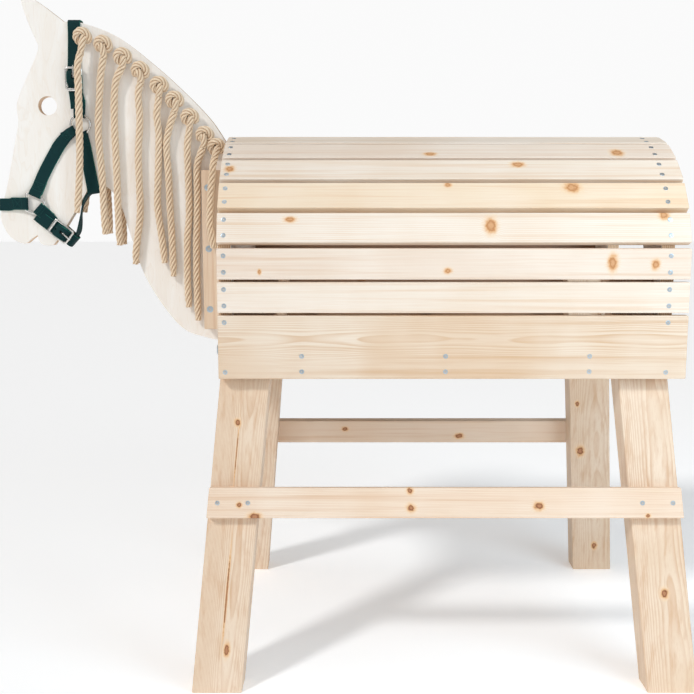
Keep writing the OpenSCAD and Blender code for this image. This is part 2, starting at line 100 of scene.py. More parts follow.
# --- Node graphs ---------------------------------------------------------------------------
class Graph:
    """A material's nodes, made with short calls; a value in `ins` is a socket or a constant."""

    def __init__(self, name):
        self.mat = bpy.data.materials.new(name)
        self.mat.use_nodes = True
        self.tree = self.mat.node_tree
        self.tree.nodes.clear()

    def add(self, kind, ins=None, **props):
        n = self.tree.nodes.new("ShaderNode" + kind)
        for key, value in props.items():
            setattr(n, key, value)
        for key, value in (ins or {}).items():
            if isinstance(value, bpy.types.NodeSocket):
                self.tree.links.new(value, n.inputs[key])
            else:
                n.inputs[key].default_value = value
        return n

    def math(self, op, a, b=0.0, c=0.0, clamp=False):
        ins = {0: a, 1: b}
        if op == "MULTIPLY_ADD":
            ins[2] = c
        return self.add("Math", ins, operation=op, use_clamp=clamp).outputs[0]

    def mul(self, a, b):
        return self.math("MULTIPLY", a, b)

    def plus(self, a, b):
        return self.math("ADD", a, b)

    def minus(self, a, b):
        return self.math("SUBTRACT", a, b)

    def mul_add(self, a, b, c):
        return self.math("MULTIPLY_ADD", a, b, c)

    def vector(self, op, a, b=(0, 0, 0), out=0):
        return self.add("VectorMath", {0: a, 1: b}, operation=op).outputs[out]

    def dot(self, a, b):
        return self.vector("DOT_PRODUCT", a, b, 1)

    def scaled(self, vec, scale):
        return self.vector("MULTIPLY", vec, scale)

    def stretched(self, vec, axis, along, across):
        """vec scaled one way along the grain's axis and another way across it."""
        return self.scaled(vec, tuple(along * abs(c) + across * (1 - abs(c)) for c in axis))

    def place(self):
        return self.add("TexCoord").outputs["Object"]

    def combine(self, x, y, z):
        return self.add("CombineXYZ", {0: x, 1: y, 2: z}).outputs[0]

    def noise(self, vec, scale, detail=2.0, rough=0.5, distortion=0.0):
        ins = {"Vector": vec, "Scale": scale, "Detail": detail}
        ins.update({"Roughness": rough, "Distortion": distortion})
        return self.add("TexNoise", ins).outputs["Fac"]

    def spread(self, value, a, b, c=0.0, d=1.0, smooth=False):
        """value from the range a..b moved to c..d, clamped."""
        kind = "SMOOTHSTEP" if smooth else "LINEAR"
        ins = {"Value": value, "From Min": a, "From Max": b, "To Min": c, "To Max": d}
        return self.add("MapRange", ins, interpolation_type=kind).outputs[0]

    def mix(self, fac, a, b):
        n = self.add("Mix", data_type="RGBA")
        for sock, value in ((n.inputs[0], fac), (n.inputs[6], a), (n.inputs[7], b)):
            if isinstance(value, bpy.types.NodeSocket):
                self.tree.links.new(value, sock)
            elif isinstance(value, (int, float)):
                sock.default_value = value
            else:
                sock.default_value = (*value[:3], 1)
        return n.outputs[2]

    def ramp(self, fac, stops):
        n = self.add("ValToRGB", {0: fac})
        band = n.color_ramp
        while len(band.elements) < len(stops):
            band.elements.new(0.5)
        for e, (pos, col) in zip(band.elements, stops):
            e.position = pos
            e.color = (*col, 1)
        return n.outputs[0]

    def bump(self, height, strength, distance):
        ins = {"Height": height, "Strength": strength, "Distance": distance}
        return self.add("Bump", ins).outputs[0]

    def surface(self, colour, rough, normal=None, **fixed):
        ins = {"Base Color": colour, "Roughness": rough}
        if normal is not None:
            ins["Normal"] = normal
        ins.update({k.replace("_", " "): v for k, v in fixed.items()})
        shader = self.add("BsdfPrincipled", ins)
        out = self.add("OutputMaterial")
        self.tree.links.new(shader.outputs[0], out.inputs[0])
        return self.mat


def srgb(r, g, b):
    """A colour as seen, 0 to 255, in the linear values that shaders take."""
    return tuple(
        c / 255 / 12.92 if c <= 10 else ((c / 255 + 0.055) / 1.055) ** 2.4
        for c in (r, g, b)
    )


# --- Mesh helpers --------------------------------------------------------------------------
def new_object(name, verts, faces, material, smooth=True, uvs=None):
    mesh = bpy.data.meshes.new(name)
    mesh.from_pydata([tuple(v) for v in verts], [], faces)
    if uvs is not None:
        layer = mesh.uv_layers.new(name="UVMap")
        for loop in mesh.loops:
            layer.data[loop.index].uv = uvs[loop.vertex_index]
    mesh.polygons.foreach_set("use_smooth", [smooth] * len(mesh.polygons))
    mesh.update()
    mesh.materials.append(material)
    return linked(name, mesh)


def fix_normals(mesh, merge=0.0):
    bm = bmesh.new()
    bm.from_mesh(mesh)
    if merge:
        bmesh.ops.remove_doubles(bm, verts=bm.verts, dist=merge)
    bmesh.ops.recalc_face_normals(bm, faces=bm.faces)
    bm.to_mesh(mesh)
    bm.free()


def tube_faces(rings, n, base=0, closed=False, caps=False):
    """Faces between rings of n points that follow one another, numbered from base."""
    faces = []
    for i in range(rings if closed else rings - 1):
        a, b = base + i * n, base + (i + 1) % rings * n
        faces += [(a + k, a + (k + 1) % n, b + (k + 1) % n, b + k) for k in range(n)]
    if caps:
        last = base + (rings - 1) * n
        faces += [tuple(range(base, base + n))[::-1], tuple(range(last, last + n))]
    return faces


def on_curve(a, b, c, d, t):
    """Where a smooth curve through four points is at t, from b at 0 to c at 1."""
    bend = (2 * a - 5 * b + 4 * c - d) * t * t + (3 * b - a - 3 * c + d) * t * t * t
    return 0.5 * (2 * b + (c - a) * t + bend)


def catmull(points, spacing):
    """Points about `spacing` apart on a smooth curve through the given ones."""
    p = [Vector(q) for q in points]
    p = [2 * p[0] - p[1]] + p + [2 * p[-1] - p[-2]]
    line = []
    for i in range(1, len(p) - 2):
        a, b, c, d = p[i - 1 : i + 3]
        steps = max(2, round((c - b).length / (spacing * 0.25)))
        line += [on_curve(a, b, c, d, k / steps) for k in range(steps)]
    line.append(p[-2])
    return resample(line, spacing)


def resample(line, spacing):
    """The same line with points evenly spaced."""
    far = [0.0]
    for a, b in zip(line, line[1:]):
        far.append(far[-1] + (b - a).length)
    count = max(2, round(far[-1] / spacing))
    out, i = [], 0
    for k in range(count + 1):
        s = far[-1] * k / count
        while i < len(line) - 2 and far[i + 1] < s:
            i += 1
        step = far[i + 1] - far[i]
        out.append(line[i].lerp(line[i + 1], (s - far[i]) / step if step else 0))
    return out


def length_of(line):
    return sum((b - a).length for a, b in zip(line, line[1:]))


def frames_along(line, first_side):
    """Tangent and two cross directions at each point, carried along without twist."""
    out, u = [], Vector(first_side)
    for i in range(len(line)):
        t = (line[min(i + 1, len(line) - 1)] - line[max(i - 1, 0)]).normalized()
        u = (u - t * u.dot(t)).normalized()
        out.append((t, u, t.cross(u)))
    return out


# --- Rope mane -----------------------------------------------------------------------------
ROPE_R = 5.9 * MM  # over a strand's crown
GROOVE_R = 3.3 * MM  # down between two strands
STRANDS = 5
STRAND_AT = 3.7 * MM  # a strand's middle, from the rope's
STRAND_R = 2.2 * MM
LAY = 49 * MM  # length of one full turn of a strand
LOBE_POINTS = 6  # points round one strand
ROPE_STEP = 2.1 * MM
ROPE_AROUND = 0.0377  # m
TIP_LEN = 14 * MM  # how far a cut end is pinched
KNOT_SHRINK = 0.94
SIDES = ((-1, "left"), (1, "right"))


def lobe_radius(angle):
    """Radius of the laid rope at an angle from the nearest strand's middle."""
    across = STRAND_AT * math.sin(angle)
    return STRAND_AT * math.cos(angle) + math.sqrt(max(0.0, STRAND_R**2 - across**2))


def rope_mesh(name, line, material, seed, cut_end=False, shrink=1.0):
    """A laid right-handed rope round the line; a cut end is pinched and a little frayed."""
    rnd = random.Random(seed)
    turn = rnd.uniform(0, math.tau)
    ring = STRANDS * LOBE_POINTS
    total = length_of(line)
    steps = frames_along(line, (1, 0.13, 0.07))
    verts, uvs, shade = [], [], []
    s = 0.0
    for i, (t, u, v) in enumerate(steps):
        if i:
            s += (line[i] - line[i - 1]).length
        to_cut = total - s if cut_end else 1.0
        pinch = 1.0
        if to_cut < TIP_LEN:
            near = 1 - to_cut / TIP_LEN
            pinch = 1 - 0.2 * math.sin(min(1.0, near * 1.25) * math.pi * 0.72) ** 2
        swell = 1 + 0.018 * math.sin(s * 130 + turn * 3)
        for k in range(ring):
            around = math.tau * k / ring
            off = (around + math.pi / STRANDS) % (math.tau / STRANDS) - math.pi / STRANDS
            r = lobe_radius(off) * pinch * swell * shrink
            a = around + turn + math.tau * s / LAY
            verts.append(line[i] + (u * math.cos(a) + v * math.sin(a)) * r)
            uvs.append((s, around / math.tau * ROPE_AROUND))
            # painted shade: 0 on a strand's crown up to 1 deep in a groove, used to darken the
            # grooves in the rope's colour; the cut ends get fixed values
            shade.append(1 - (lobe_radius(off) - GROOVE_R) / (ROPE_R - GROOVE_R))
    faces = [f[::-1] for f in tube_faces(len(line), ring)]
    for end, sign in ((0, -1), (len(line) - 1, 1)):
        base = end * ring
        t = steps[end][0]
        inner = len(verts)
        for k in range(ring):
            lift = rnd.uniform(0.1, 0.9) * MM if (k // LOBE_POINTS) % 2 else 0.2 * MM
            verts.append(line[end].lerp(verts[base + k], 0.55) + t * sign * lift)
            uvs.append(uvs[base + k])
            shade.append(0.55)
        centre = len(verts)
        verts.append(line[end] + t * sign * 0.1 * MM)
        uvs.append((0, 0))
        shade.append(0.9)
        for k in range(ring):
            n = (k + 1) % ring
            faces.append((base + k, inner + k, inner + n, base + n)[::sign])
            faces.append((inner + k, centre, inner + n)[::sign])
    obj = new_object(name, verts, faces, material, uvs=uvs)
    groove_shade = obj.data.attributes.new("groove_shade", "FLOAT", "POINT")
    groove_shade.data.foreach_set("value", shade)
    fix_normals(obj.data)
    return obj


def rope_material():
    g = Graph("hemp rope")
    uv = g.add("UVMap").outputs[0]
    groove_shade = g.add("Attribute", attribute_name="groove_shade").outputs["Fac"]
    yarns = g.noise(g.scaled(uv, (60, 2600, 1)), 1.0, 3, 0.65)
    patches = g.noise(g.scaled(uv, (35, 60, 1)), 1.0, 2)
    fibre = g.noise(g.place(), 2600, 2, 0.7)
    light = g.mix(patches, srgb(238, 213, 180), srgb(250, 233, 208))
    # painted shade: the grooves between the strands are coloured a darker brown
    shaded_groove_col = g.mix(patches, srgb(168, 120, 80), srgb(188, 142, 100))
    depth = g.math("POWER", groove_shade, 1.3, clamp=True)
    col = g.mix(depth, light, shaded_groove_col)
    streak = g.spread(yarns, 0.42, 0.72, 0.0, 0.5)
    col = g.mix(streak, col, srgb(196, 156, 114))
    col = g.mix(g.spread(fibre, 0.5, 0.75, 0.0, 0.35), col, srgb(250, 238, 218))
    height = g.plus(g.mul(yarns, 0.7), g.mul(fibre, 0.3))
    normal = g.bump(height, 0.75, 0.0007)
    return g.surface(col, 0.88, normal, Specular_IOR_Level=0.2, Sheen_Weight=0.25)


# Holes along the crest, from the ears to the withers: (x, z), in millimetres as for at()
MANE_HOLES = [
    (-231, 980), (-198, 968), (-168, 949), (-140, 928), (-111, 905),
    (-87, 882), (-63, 855), (-39, 827), (-21, 808),
]
# Route of each strand on the left, from its cut end up to its knot; the right mirrors it
MANE_ROUTES = [
    [(-249, -24, 704), (-245, -25, 738), (-241, -26, 790), (-239, -28, 850),
     (-238, -29, 900), (-238, -29, 934), (-233, -27, 956)],
    [(-206, -17, 669), (-207, -17, 712), (-208, -17, 764), (-211, -17, 812),
     (-211, -17, 848), (-208, -17, 884), (-204, -18, 924), (-199, -19, 948)],
    [(-183, -17, 651), (-184, -17, 712), (-184, -17, 776), (-185, -17, 836),
     (-184, -17, 886), (-180, -18, 914), (-171, -19, 932)],
    [(-158, -17, 620), (-156, -17, 646), (-148, -17, 702), (-148, -17, 752),
     (-148, -17, 800), (-144, -17, 850), (-145, -18, 892), (-141, -19, 910)],
    [(-110, -17, 622), (-113, -17, 658), (-119, -17, 714), (-117, -17, 762),
     (-114, -17, 824), (-116, -18, 860), (-112, -19, 888)],
    [(-96, -17, 600), (-97, -17, 658), (-99, -17, 714), (-100, -17, 764),
     (-102, -17, 812), (-96, -18, 842), (-88, -19, 864)],
    [(-72, -17, 549), (-73, -17, 596), (-72, -17, 658), (-68, -17, 702),
     (-68, -17, 762), (-68, -18, 812), (-64, -19, 838)],
    [(-57, -17, 527), (-58, -17, 596), (-57, -17, 658), (-55.5, -17, 690),
     (-54, -17, 738), (-53, -18, 780), (-43, -19, 808)],
    [(-25, -46, 648), (-29, -46, 671), (-31, -46, 690), (-28, -46, 738),
     (-25, -46.5, 766), (-24, -45.5, 778), (-22, -37, 791)],
]
# An overhand knot seen from outside: (along the head, out from its face, up), from the hole
KNOT_TURNS = [
    (0, -9, 0), (0, -2, 0), (3.5, 4.5, -2), (8.8, 8, -4), (10.2, 12, 3), (5, 16, 9.5),
    (-4, 16.5, 9.5), (-9.6, 12.5, 3), (-8.2, 7.5, -4.5), (-1.5, 5.5, -6.5), (4, 8, -2),
    (2.5, 14, 0),
]


UNTURNED_KNOTS = (0, 2, 5)  # ropes whose two knots lie the same way


def mirrored(points, side):
    return [Vector((p.x, p.y * -side, p.z)) for p in points]


def mane_rope(k, material):
    """One rope of the mane: a hanging strand and a knot on each side, through one hole."""
    hole_x, hole_z = MANE_HOLES[k]
    node = f"mane_rope_{k + 1}"
    for side, word in SIDES:
        route = mirrored([at(*p) for p in MANE_ROUTES[k]], side)
        strand = catmull(route[::-1], ROPE_STEP)
        name = f"mane_strand_{k + 1}_{word}"
        piece = rope_mesh(name, strand, material, 10 * k + side, cut_end=True)
        belongs(piece, "horse", "mane_rope", node)
        flip = -1 if (k + (side > 0)) % 2 and k not in UNTURNED_KNOTS else 1
        turns = [
            at(hole_x + x * flip, -HEAD_T / 2 - out, hole_z + z) for x, out, z in KNOT_TURNS
        ]
        turns = mirrored(turns, side)
        drop = (route[-1] - route[-2]).normalized()
        turns += [route[-1] + drop * 6 * MM, route[-1]]
        name = f"mane_knot_{k + 1}_{word}"
        loops = catmull(turns, ROPE_STEP * 0.8)
        knot = rope_mesh(name, loops, material, 500 + 10 * k + side, shrink=KNOT_SHRINK)
        belongs(knot, "horse", "mane_rope", node)


ROPE = rope_material()
for k in range(len(MANE_HOLES)):
    mane_rope(k, ROPE)


# --- Wood materials ------------------------------------------------------------------------
def grain_axes(g, along, across):
    """Where each point is; distances along the grain, across the board and into it; the axes."""
    pos = g.place()
    a = Vector(along).normalized()
    b = Vector(across)
    b = (b - a * b.dot(a)).normalized()
    return pos, [g.dot(pos, tuple(d)) for d in (a, b, a.cross(b))], a, b


def knot_field(g, u, v, knots):
    """The nearest knot's distance in knot radii, and v with its lines pushed round the knots."""
    nearest = None
    for ku, kv, radius, stretch in knots:
        spot = g.combine(g.mul(u, 1 / stretch), v, 0.0)
        gap = g.vector("DISTANCE", spot, (ku / stretch, kv, 0), 1)
        t = g.mul(gap, 1 / radius)
        push = g.spread(t, 0.2, 3.4, 0.8, 0.0, smooth=True)
        v = g.minus(v, g.mul(g.minus(v, kv), push))
        nearest = t if nearest is None else g.math("MINIMUM", nearest, t)
    return nearest, v


# Colours of early wood, of its darker clouds, and of late wood and streaks
PINE_TONES = {
    "pale": (srgb(243, 232, 219), srgb(238, 224, 208), srgb(222, 188, 152)),
    "warm": (srgb(242, 225, 203), srgb(238, 217, 189), srgb(222, 179, 134)),
    "pink": (srgb(241, 228, 214), srgb(236, 220, 204), srgb(219, 185, 153)),
    "board": (srgb(235, 219, 200), srgb(227, 204, 179), srgb(208, 168, 127)),
    "rail": (srgb(240, 222, 203), srgb(236, 213, 190), srgb(214, 174, 138)),
    # leg: darker, partly as another wood and partly as painted shade for the legs, which lean away
    # from the light above; the neck battens take it too
    "leg": (srgb(235, 215, 193), srgb(226, 202, 176), srgb(206, 166, 130)),
}
# A knot's colours from its middle to its rim, and the wood's round it
KNOT_TONES = {
    "soft": (srgb(206, 152, 106), srgb(214, 164, 118), srgb(188, 130, 82)),
    "dark": (srgb(168, 114, 78), srgb(186, 132, 94), srgb(132, 80, 50)),
}
HALO = (srgb(220, 170, 120), srgb(238, 205, 164))


def pine(name, along, across, mid, seed, knots=(), tone="pale", flat_sawn=False, inner=None):
    """Planed pine: growth rings round a pith behind the board, fine streaks and knots.
    mid is the middle of the board's face; a knot is (along, across, radius, stretch);
    inner is the way that the inner face looks, and painted shade darkens that face."""
    rnd = random.Random(seed)
    g = Graph(name)
    pos, (u, v, w), a, b = grain_axes(g, along, across)
    mid_v, mid_w = b.dot(mid), a.cross(b).dot(mid)
    nearest, v_bent = knot_field(g, u, v, knots)
    side = rnd.choice((-1, 1))
    off = 0.012 if flat_sawn else rnd.choice((-1, 1)) * rnd.uniform(0.06, 0.11)
    pith_v = mid_v + off
    pith_w = mid_w + side * rnd.uniform(0.03, 0.055)

    # Growth rings: dark late wood at the end of each
    wander = g.noise(g.stretched(pos, a, 4, 9), 1.0, 2, 0.5)
    radius = g.vector("LENGTH", g.combine(g.minus(v_bent, pith_v), g.minus(w, pith_w), 0.0), out=1)
    radius = g.mul_add(u, rnd.uniform(-0.012, 0.012), radius)
    radius = g.mul_add(wander, 0.007 if flat_sawn else 0.0035, radius)
    spacing = rnd.uniform(0.0012, 0.0017) if flat_sawn else rnd.uniform(0.0017, 0.0026)
    ring = g.math("FRACT", g.mul(radius, 1 / spacing))
    late = g.mul(g.spread(ring, 0.35, 0.9), g.spread(ring, 0.93, 1.0, 1.0, 0.0))

    # Tone: broad clouds, rings, fine streaks, and long bands along the board
    streak = g.noise(g.stretched(pos, a, 10, 620), 1.0, 3, 0.6)
    broad = g.noise(g.vector("ADD", pos, (seed * 0.37, seed * 0.11, 0)), 7.0, 2)
    light, mid_tone, dark = PINE_TONES[tone]
    col = g.mix(g.spread(broad, 0.35, 0.65), light, mid_tone)
    fade = g.spread(g.noise(pos, 14.0, 1), 0.3, 0.7, 0.2, 0.72 if flat_sawn else 0.5)
    col = g.mix(g.mul(late, fade), col, dark)
    col = g.mix(g.spread(streak, 0.5, 0.78, 0.0, 0.3), col, dark)
    drift = g.vector("ADD", pos, (seed * 0.53, seed * 0.19, seed * 0.07))
    band = g.noise(g.stretched(drift, a, 2.2, 130), 1.0, 3, 0.6)
    col = g.mix(g.spread(band, 0.5, 0.72, 0.0, 0.6), col, dark)

    if nearest is not None:
        rough_edge = g.minus(g.noise(pos, 190.0, 2), 0.5)
        ragged = g.mul_add(rough_edge, 1.1, g.mul_add(streak, 0.35, nearest))
        core = KNOT_TONES["dark" if tone in ("leg", "rail") else "soft"]
        shade = g.ramp(g.mul(ragged, 0.3), list(zip((0.0, 0.16, 0.29, 0.38, 0.62), core + HALO)))
        col = g.mix(g.spread(ragged, 1.0, 2.7, 1.0, 0.0, smooth=True), col, shade)

    # End grain, and painted shade on the inner face
    normal = g.add("NewGeometry").outputs["True Normal"]
    facing = g.math("ABSOLUTE", g.dot(normal, tuple(a)))
    col = g.mix(g.spread(facing, 0.7, 0.95, 0.0, 0.45), col, dark)
    if inner is not None:
        # painted shade: faces turned towards the barrel's hollow or underside are coloured darker
        inner_shade = g.spread(g.dot(normal, tuple(inner)), 0.6, 0.9, 0.0, 0.8)
        col = g.mix(inner_shade, col, srgb(150, 110, 80))
    height = g.plus(g.mul(streak, 0.7), g.mul(late, 0.4))
    return g.surface(col, 0.58, g.bump(height, 0.22, 0.0005), Specular_IOR_Level=0.32)


def plywood(name, thick_axis, low, thickness, grain, plies):
    """Birch plywood: pale rotary-cut faces, and on its edges the plies one over another."""
    g = Graph(name)
    axis = Vector(thick_axis)
    pos, _, a, _ = grain_axes(g, grain, axis.cross(Vector(grain)))
    wave = g.noise(g.stretched(pos, a, 5, 26), 1.0, 3, 0.55, 1.2)
    fine = g.noise(g.stretched(pos, a, 22, 900), 1.0, 2, 0.6)
    col = g.mix(g.spread(wave, 0.32, 0.68), srgb(250, 246, 240), srgb(244, 236, 226))
    bands = g.math("FRACT", g.mul(wave, 9.0))
    col = g.mix(g.spread(bands, 0.75, 1.0, 0.0, 0.2), col, srgb(230, 212, 190))
    col = g.mix(g.spread(fine, 0.56, 0.8, 0.0, 0.3), col, srgb(224, 203, 180))

    # The edges: light and dark plies with a line of glue between them
    layer = g.mul_add(g.dot(pos, tuple(axis)), plies / thickness, -low * plies / thickness)
    odd = g.math("FRACT", g.mul(layer, 0.5))
    pale_ply = g.mix(fine, srgb(238, 216, 188), srgb(230, 202, 170))
    dark_ply = g.mix(fine, srgb(214, 176, 138), srgb(200, 158, 118))
    edge = g.mix(g.spread(odd, 0.46, 0.54), pale_ply, dark_ply)
    glue = g.math("PINGPONG", layer, 0.5)
    edge = g.mix(g.spread(glue, 0.0, 0.09, 0.45, 0.0), edge, srgb(150, 106, 76))
    normal = g.add("NewGeometry").outputs["True Normal"]
    facing = g.math("ABSOLUTE", g.dot(normal, tuple(axis)))
    col = g.mix(g.spread(facing, 0.45, 0.75, 1.0, 0.0), col, edge)
    height = g.plus(fine, g.mul(glue, 0.3))
    return g.surface(col, 0.5, g.bump(height, 0.12, 0.0004), Specular_IOR_Level=0.35)


# --- Wooden pieces -------------------------------------------------------------------------
def board(node, material, slot, edge=1.3 * MM):
    """A planed board with eased edges in the place of its CAD node."""
    bm = bmesh.new()
    for v in nodes[node].data.vertices:
        bm.verts.new(v.co)
    bmesh.ops.remove_doubles(bm, verts=bm.verts, dist=1e-5)
    hull = bmesh.ops.convex_hull(bm, input=bm.verts)
    loose = set(hull["geom_interior"] + hull["geom_unused"])
    loose = [v for v in loose if isinstance(v, bmesh.types.BMVert)]
    bmesh.ops.delete(bm, geom=loose, context="VERTS")
    bmesh.ops.dissolve_limit(bm, angle_limit=math.radians(1.5), verts=bm.verts, edges=bm.edges)
    bmesh.ops.bevel(bm, geom=bm.edges[:], offset=edge, segments=3, profile=0.5, affect="EDGES")
    bmesh.ops.recalc_face_normals(bm, faces=bm.faces)
    mesh = bpy.data.meshes.new(node + "_board")
    bm.to_mesh(mesh)
    bm.free()
    mesh.materials.append(material)
    belongs(linked(node + "_board", mesh), "horse", slot, node)


SLAT_TILTS = [0, 0, 20, 36, 50, 62, 76]
# Knots seen on the left side: node -> (x, distance up the face, radius, stretch), in metres
KNOTS = {
    "slat_left_6": [(0.1518, 0.2752, 0.0042, 1.5), (0.4383, 0.2797, 0.0075, 0.9)],
    "slat_left_5": [(-0.1512, 0.3859, 0.0048, 1.1), (0.2819, 0.3966, 0.0045, 1.6)],
    "slat_left_4": [(0.1743, 0.5054, 0.003, 1.3), (0.3571, 0.5009, 0.0065, 1.3)],
    "slat_left_3": [(-0.0579, 0.587, 0.003, 2.0), (0.2342, 0.5776, 0.0085, 0.75),
                    (0.4866, 0.5935, 0.005, 1.0)],
    "slat_left_2": [(-0.1022, 0.6221, 0.0028, 0.7), (0.1717, 0.6236, 0.003, 1.3),
                    (0.4110, 0.6352, 0.0085, 0.6), (0.4735, 0.6330, 0.0055, 0.8)],
    "rail_left": [(-0.1346, 0.2338, 0.003, 1.0), (-0.1117, 0.2161, 0.0045, 1.6),
                  (0.1196, 0.2294, 0.0045, 1.0), (0.1181, 0.2544, 0.0035, 1.0),
                  (0.3088, 0.2323, 0.0045, 1.2), (0.4698, 0.2176, 0.0025, 1.1)],
    "rail_right": [(0.0211, 0.2427, 0.0035, 1.3), (0.2416, 0.2280, 0.004, 1.6)],
}


# Knots and long cracks on the legs, the same way but by height and x
LEG_KNOTS = {
    "leg_front_left": [(0.402, -0.1388, 0.0034, 1.1), (0.357, -0.1402, 0.0007, 44),
                       (0.064, -0.1542, 0.0032, 2.4), (0.144, -0.1545, 0.0011, 44)],
    "leg_rear_right": [(0.2637, 0.4671, 0.0055, 1.4), (0.36, 0.4544, 0.003, 1.4),
                       (0.0611, 0.5094, 0.004, 1.4)],
}
LEG_SPLAY, LEG_LEAN = math.radians(10), math.radians(5)
FOOT_Y = 0.273
SLAT_TONES = ["pale", "pink", "pale", "warm", "pale", "pink", "pale"]
X, Y, Z = (1, 0, 0), (0, 1, 0), (0, 0, 1)


def unseen_knots(rnd, count, low, high, v_mid, v_half):
    return [
        (rnd.uniform(low, high), v_mid + rnd.uniform(-v_half, v_half),
         rnd.uniform(0.003, 0.0065), rnd.uniform(0.9, 1.5))
        for _ in range(count)
    ]


def barrel():
    for sign, word in SIDES:
        for i, tilt in enumerate(SLAT_TILTS):
            node = f"slat_{word}_{i + 1}"
            low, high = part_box(node)
            mid = (low + high) / 2
            t = math.radians(tilt)
            across = Vector((0, -sign * math.sin(t), math.cos(t)))
            rnd = random.Random(40 + i + 20 * sign)
            knots = KNOTS.get(node)
            if knots is None:
                count = rnd.choice((1, 2, 2, 3)) if sign > 0 else 0
                ends = low.x + 0.05, high.x - 0.05
                knots = unseen_knots(rnd, count, *ends, across.dot(mid), 0.015)
            stuff = pine(f"pine {node}", X, across, mid, 100 + i + 30 * sign, knots,
                         SLAT_TONES[i], inner=Vector(X).cross(across) * sign)
            board(node, stuff, "pine_barrel")
        node = f"side_board_{word}"
        stuff = pine(f"pine {node}", X, Z, middle(node), 71 + sign, (), "board", True,
                     Vector((0, -sign, 0)))
        board(node, stuff, "pine_barrel")
    low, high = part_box("ridge_slat")
    knots = unseen_knots(random.Random(5), 2, low.x + 0.1, high.x - 0.1, 0, 0.015)
    stuff = pine("pine ridge_slat", X, Y, (low + high) / 2, 61, knots, inner=Vector((0, 0, -1)))
    board("ridge_slat", stuff, "pine_barrel")
    for k in (1, 2, 3):
        node = f"cross_batten_{k}"
        board(node, pine(f"pine {node}", Y, Z, middle(node), 80 + k, (), "pink"), "pine_battens")


def legs_and_rails():
    for sign, word in SIDES:
        up = Vector((0, -sign * math.sin(LEG_SPLAY), math.cos(LEG_SPLAY)))
        for end, way in (("front", 1), ("rear", -1)):
            node = f"leg_{end}_{word}"
            mid = middle(node)
            along = up * math.cos(LEG_LEAN) + Vector((way, 0, 0)) * math.sin(LEG_LEAN)
            along.normalize()
            across = (Vector(X) - along * along.x).normalized()
            knots = []
            for height, x, radius, stretch in LEG_KNOTS.get(node, []):
                spot = Vector((x, 0, 0)) + up * height + Vector((0, sign * FOOT_Y, 0))
                knots.append((along.dot(spot), across.dot(spot), radius, stretch))
            if not knots:
                rnd = random.Random(7 + sign + 3 * way)
                ends = along.dot(mid) - 0.25, along.dot(mid) + 0.1
                knots = unseen_knots(rnd, 2, *ends, across.dot(mid), 0.02)
            seed = 33 + 2 * sign + way
            stuff = pine(f"pine {node}", along, across, mid, seed, knots, "leg", True)
            board(node, stuff, "pine_legs", 1.8 * MM)
        node = f"rail_{word}"
        stuff = pine(f"pine {node}", X, up, middle(node), 50 + sign, KNOTS[node], "rail")
        board(node, stuff, "pine_rails")
    for _, word in SIDES:
        node = f"neck_batten_{word}"
        stuff = pine(f"pine {node}", Z, X, middle(node), 90 + len(word), (), "leg")
        board(node, stuff, "pine_battens")


def plate(name, outlines, thickness, place, material, node, slot, edge=0.8 * MM):
    """A plywood plate cut to the outlines (the first outside, the others holes), edges eased."""
    data = bpy.data.curves.new(name, "CURVE")
    data.dimensions = "2D"
    data.fill_mode = "BOTH"
    data.extrude = thickness / 2 - edge
    data.bevel_depth = edge
    data.bevel_resolution = 2
    data.offset = -edge
    for line in outlines:
        spline = data.splines.new("POLY")
        spline.points.add(len(line) - 1)
        for p, (x, y) in zip(spline.points, line):
            p.co = (x, y, 0, 1)
        spline.use_cyclic_u = True
    flat = bpy.data.objects.new(name + "_flat", data)
    mesh = bpy.data.meshes.new_from_object(flat)
    bpy.data.objects.remove(flat)
    mesh.transform(place)
    mesh.name = name
    mesh.materials.clear()
    mesh.materials.append(material)
    fix_normals(mesh, 1e-6)
    mesh.polygons.foreach_set("use_smooth", [False] * len(mesh.polygons))
    belongs(linked(name, mesh), "horse", slot, node)


def circle(x, y, r, n):
    turns = [math.tau * k / n for k in range(n)]
    return [(x + r * math.cos(a), y + r * math.sin(a)) for a in turns]


# The head's outline in runs that meet at corners, then its eye: (x, z), in millimetres as for at()
CREST = [(0, 806), (-30, 852), (-74, 898), (-122, 941), (-178, 983), (-236, 1005), (-262, 1006)]
EAR_BACK = [(-262, 1006), (-292, 1029), (-316, 1045), (-331, 1052)]
EAR_FRONT = [(-331, 1052), (-327, 1028), (-316, 996), (-305, 970)]
FACE = [(-305, 970), (-309, 954), (-338, 894), (-344, 872), (-343, 848), (-352, 806), (-366, 746),
        (-377, 708), (-377, 688), (-364, 664), (-342, 653), (-329, 661), (-320, 667)]
LIP_AND_JAW = [(-320, 667), (-314, 653), (-299, 650), (-288, 658), (-254, 709), (-231, 746)]
THROAT = [(-231, 746), (-202, 745), (-181, 715), (-165, 662), (-140, 590), (-90, 518), (-45, 497),
          (0, 490)]
EYE = (-294, 875)
EYE_R = 15
MANE_HOLE_R = 7


def curve_2d(points, spacing=3.0):
    """A smooth run through outline points, its last point left out; the ends aren't extended."""
    out = []
    for i in range(len(points) - 1):
        a, b = points[max(i - 1, 0)], points[i]
        c, d = points[i + 1], points[min(i + 2, len(points) - 1)]
        steps = max(3, round(math.dist(b, c) / spacing))
        for k in range(steps):
            out.append(tuple(on_curve(a[j], b[j], c[j], d[j], k / steps) for j in (0, 1)))
    return out


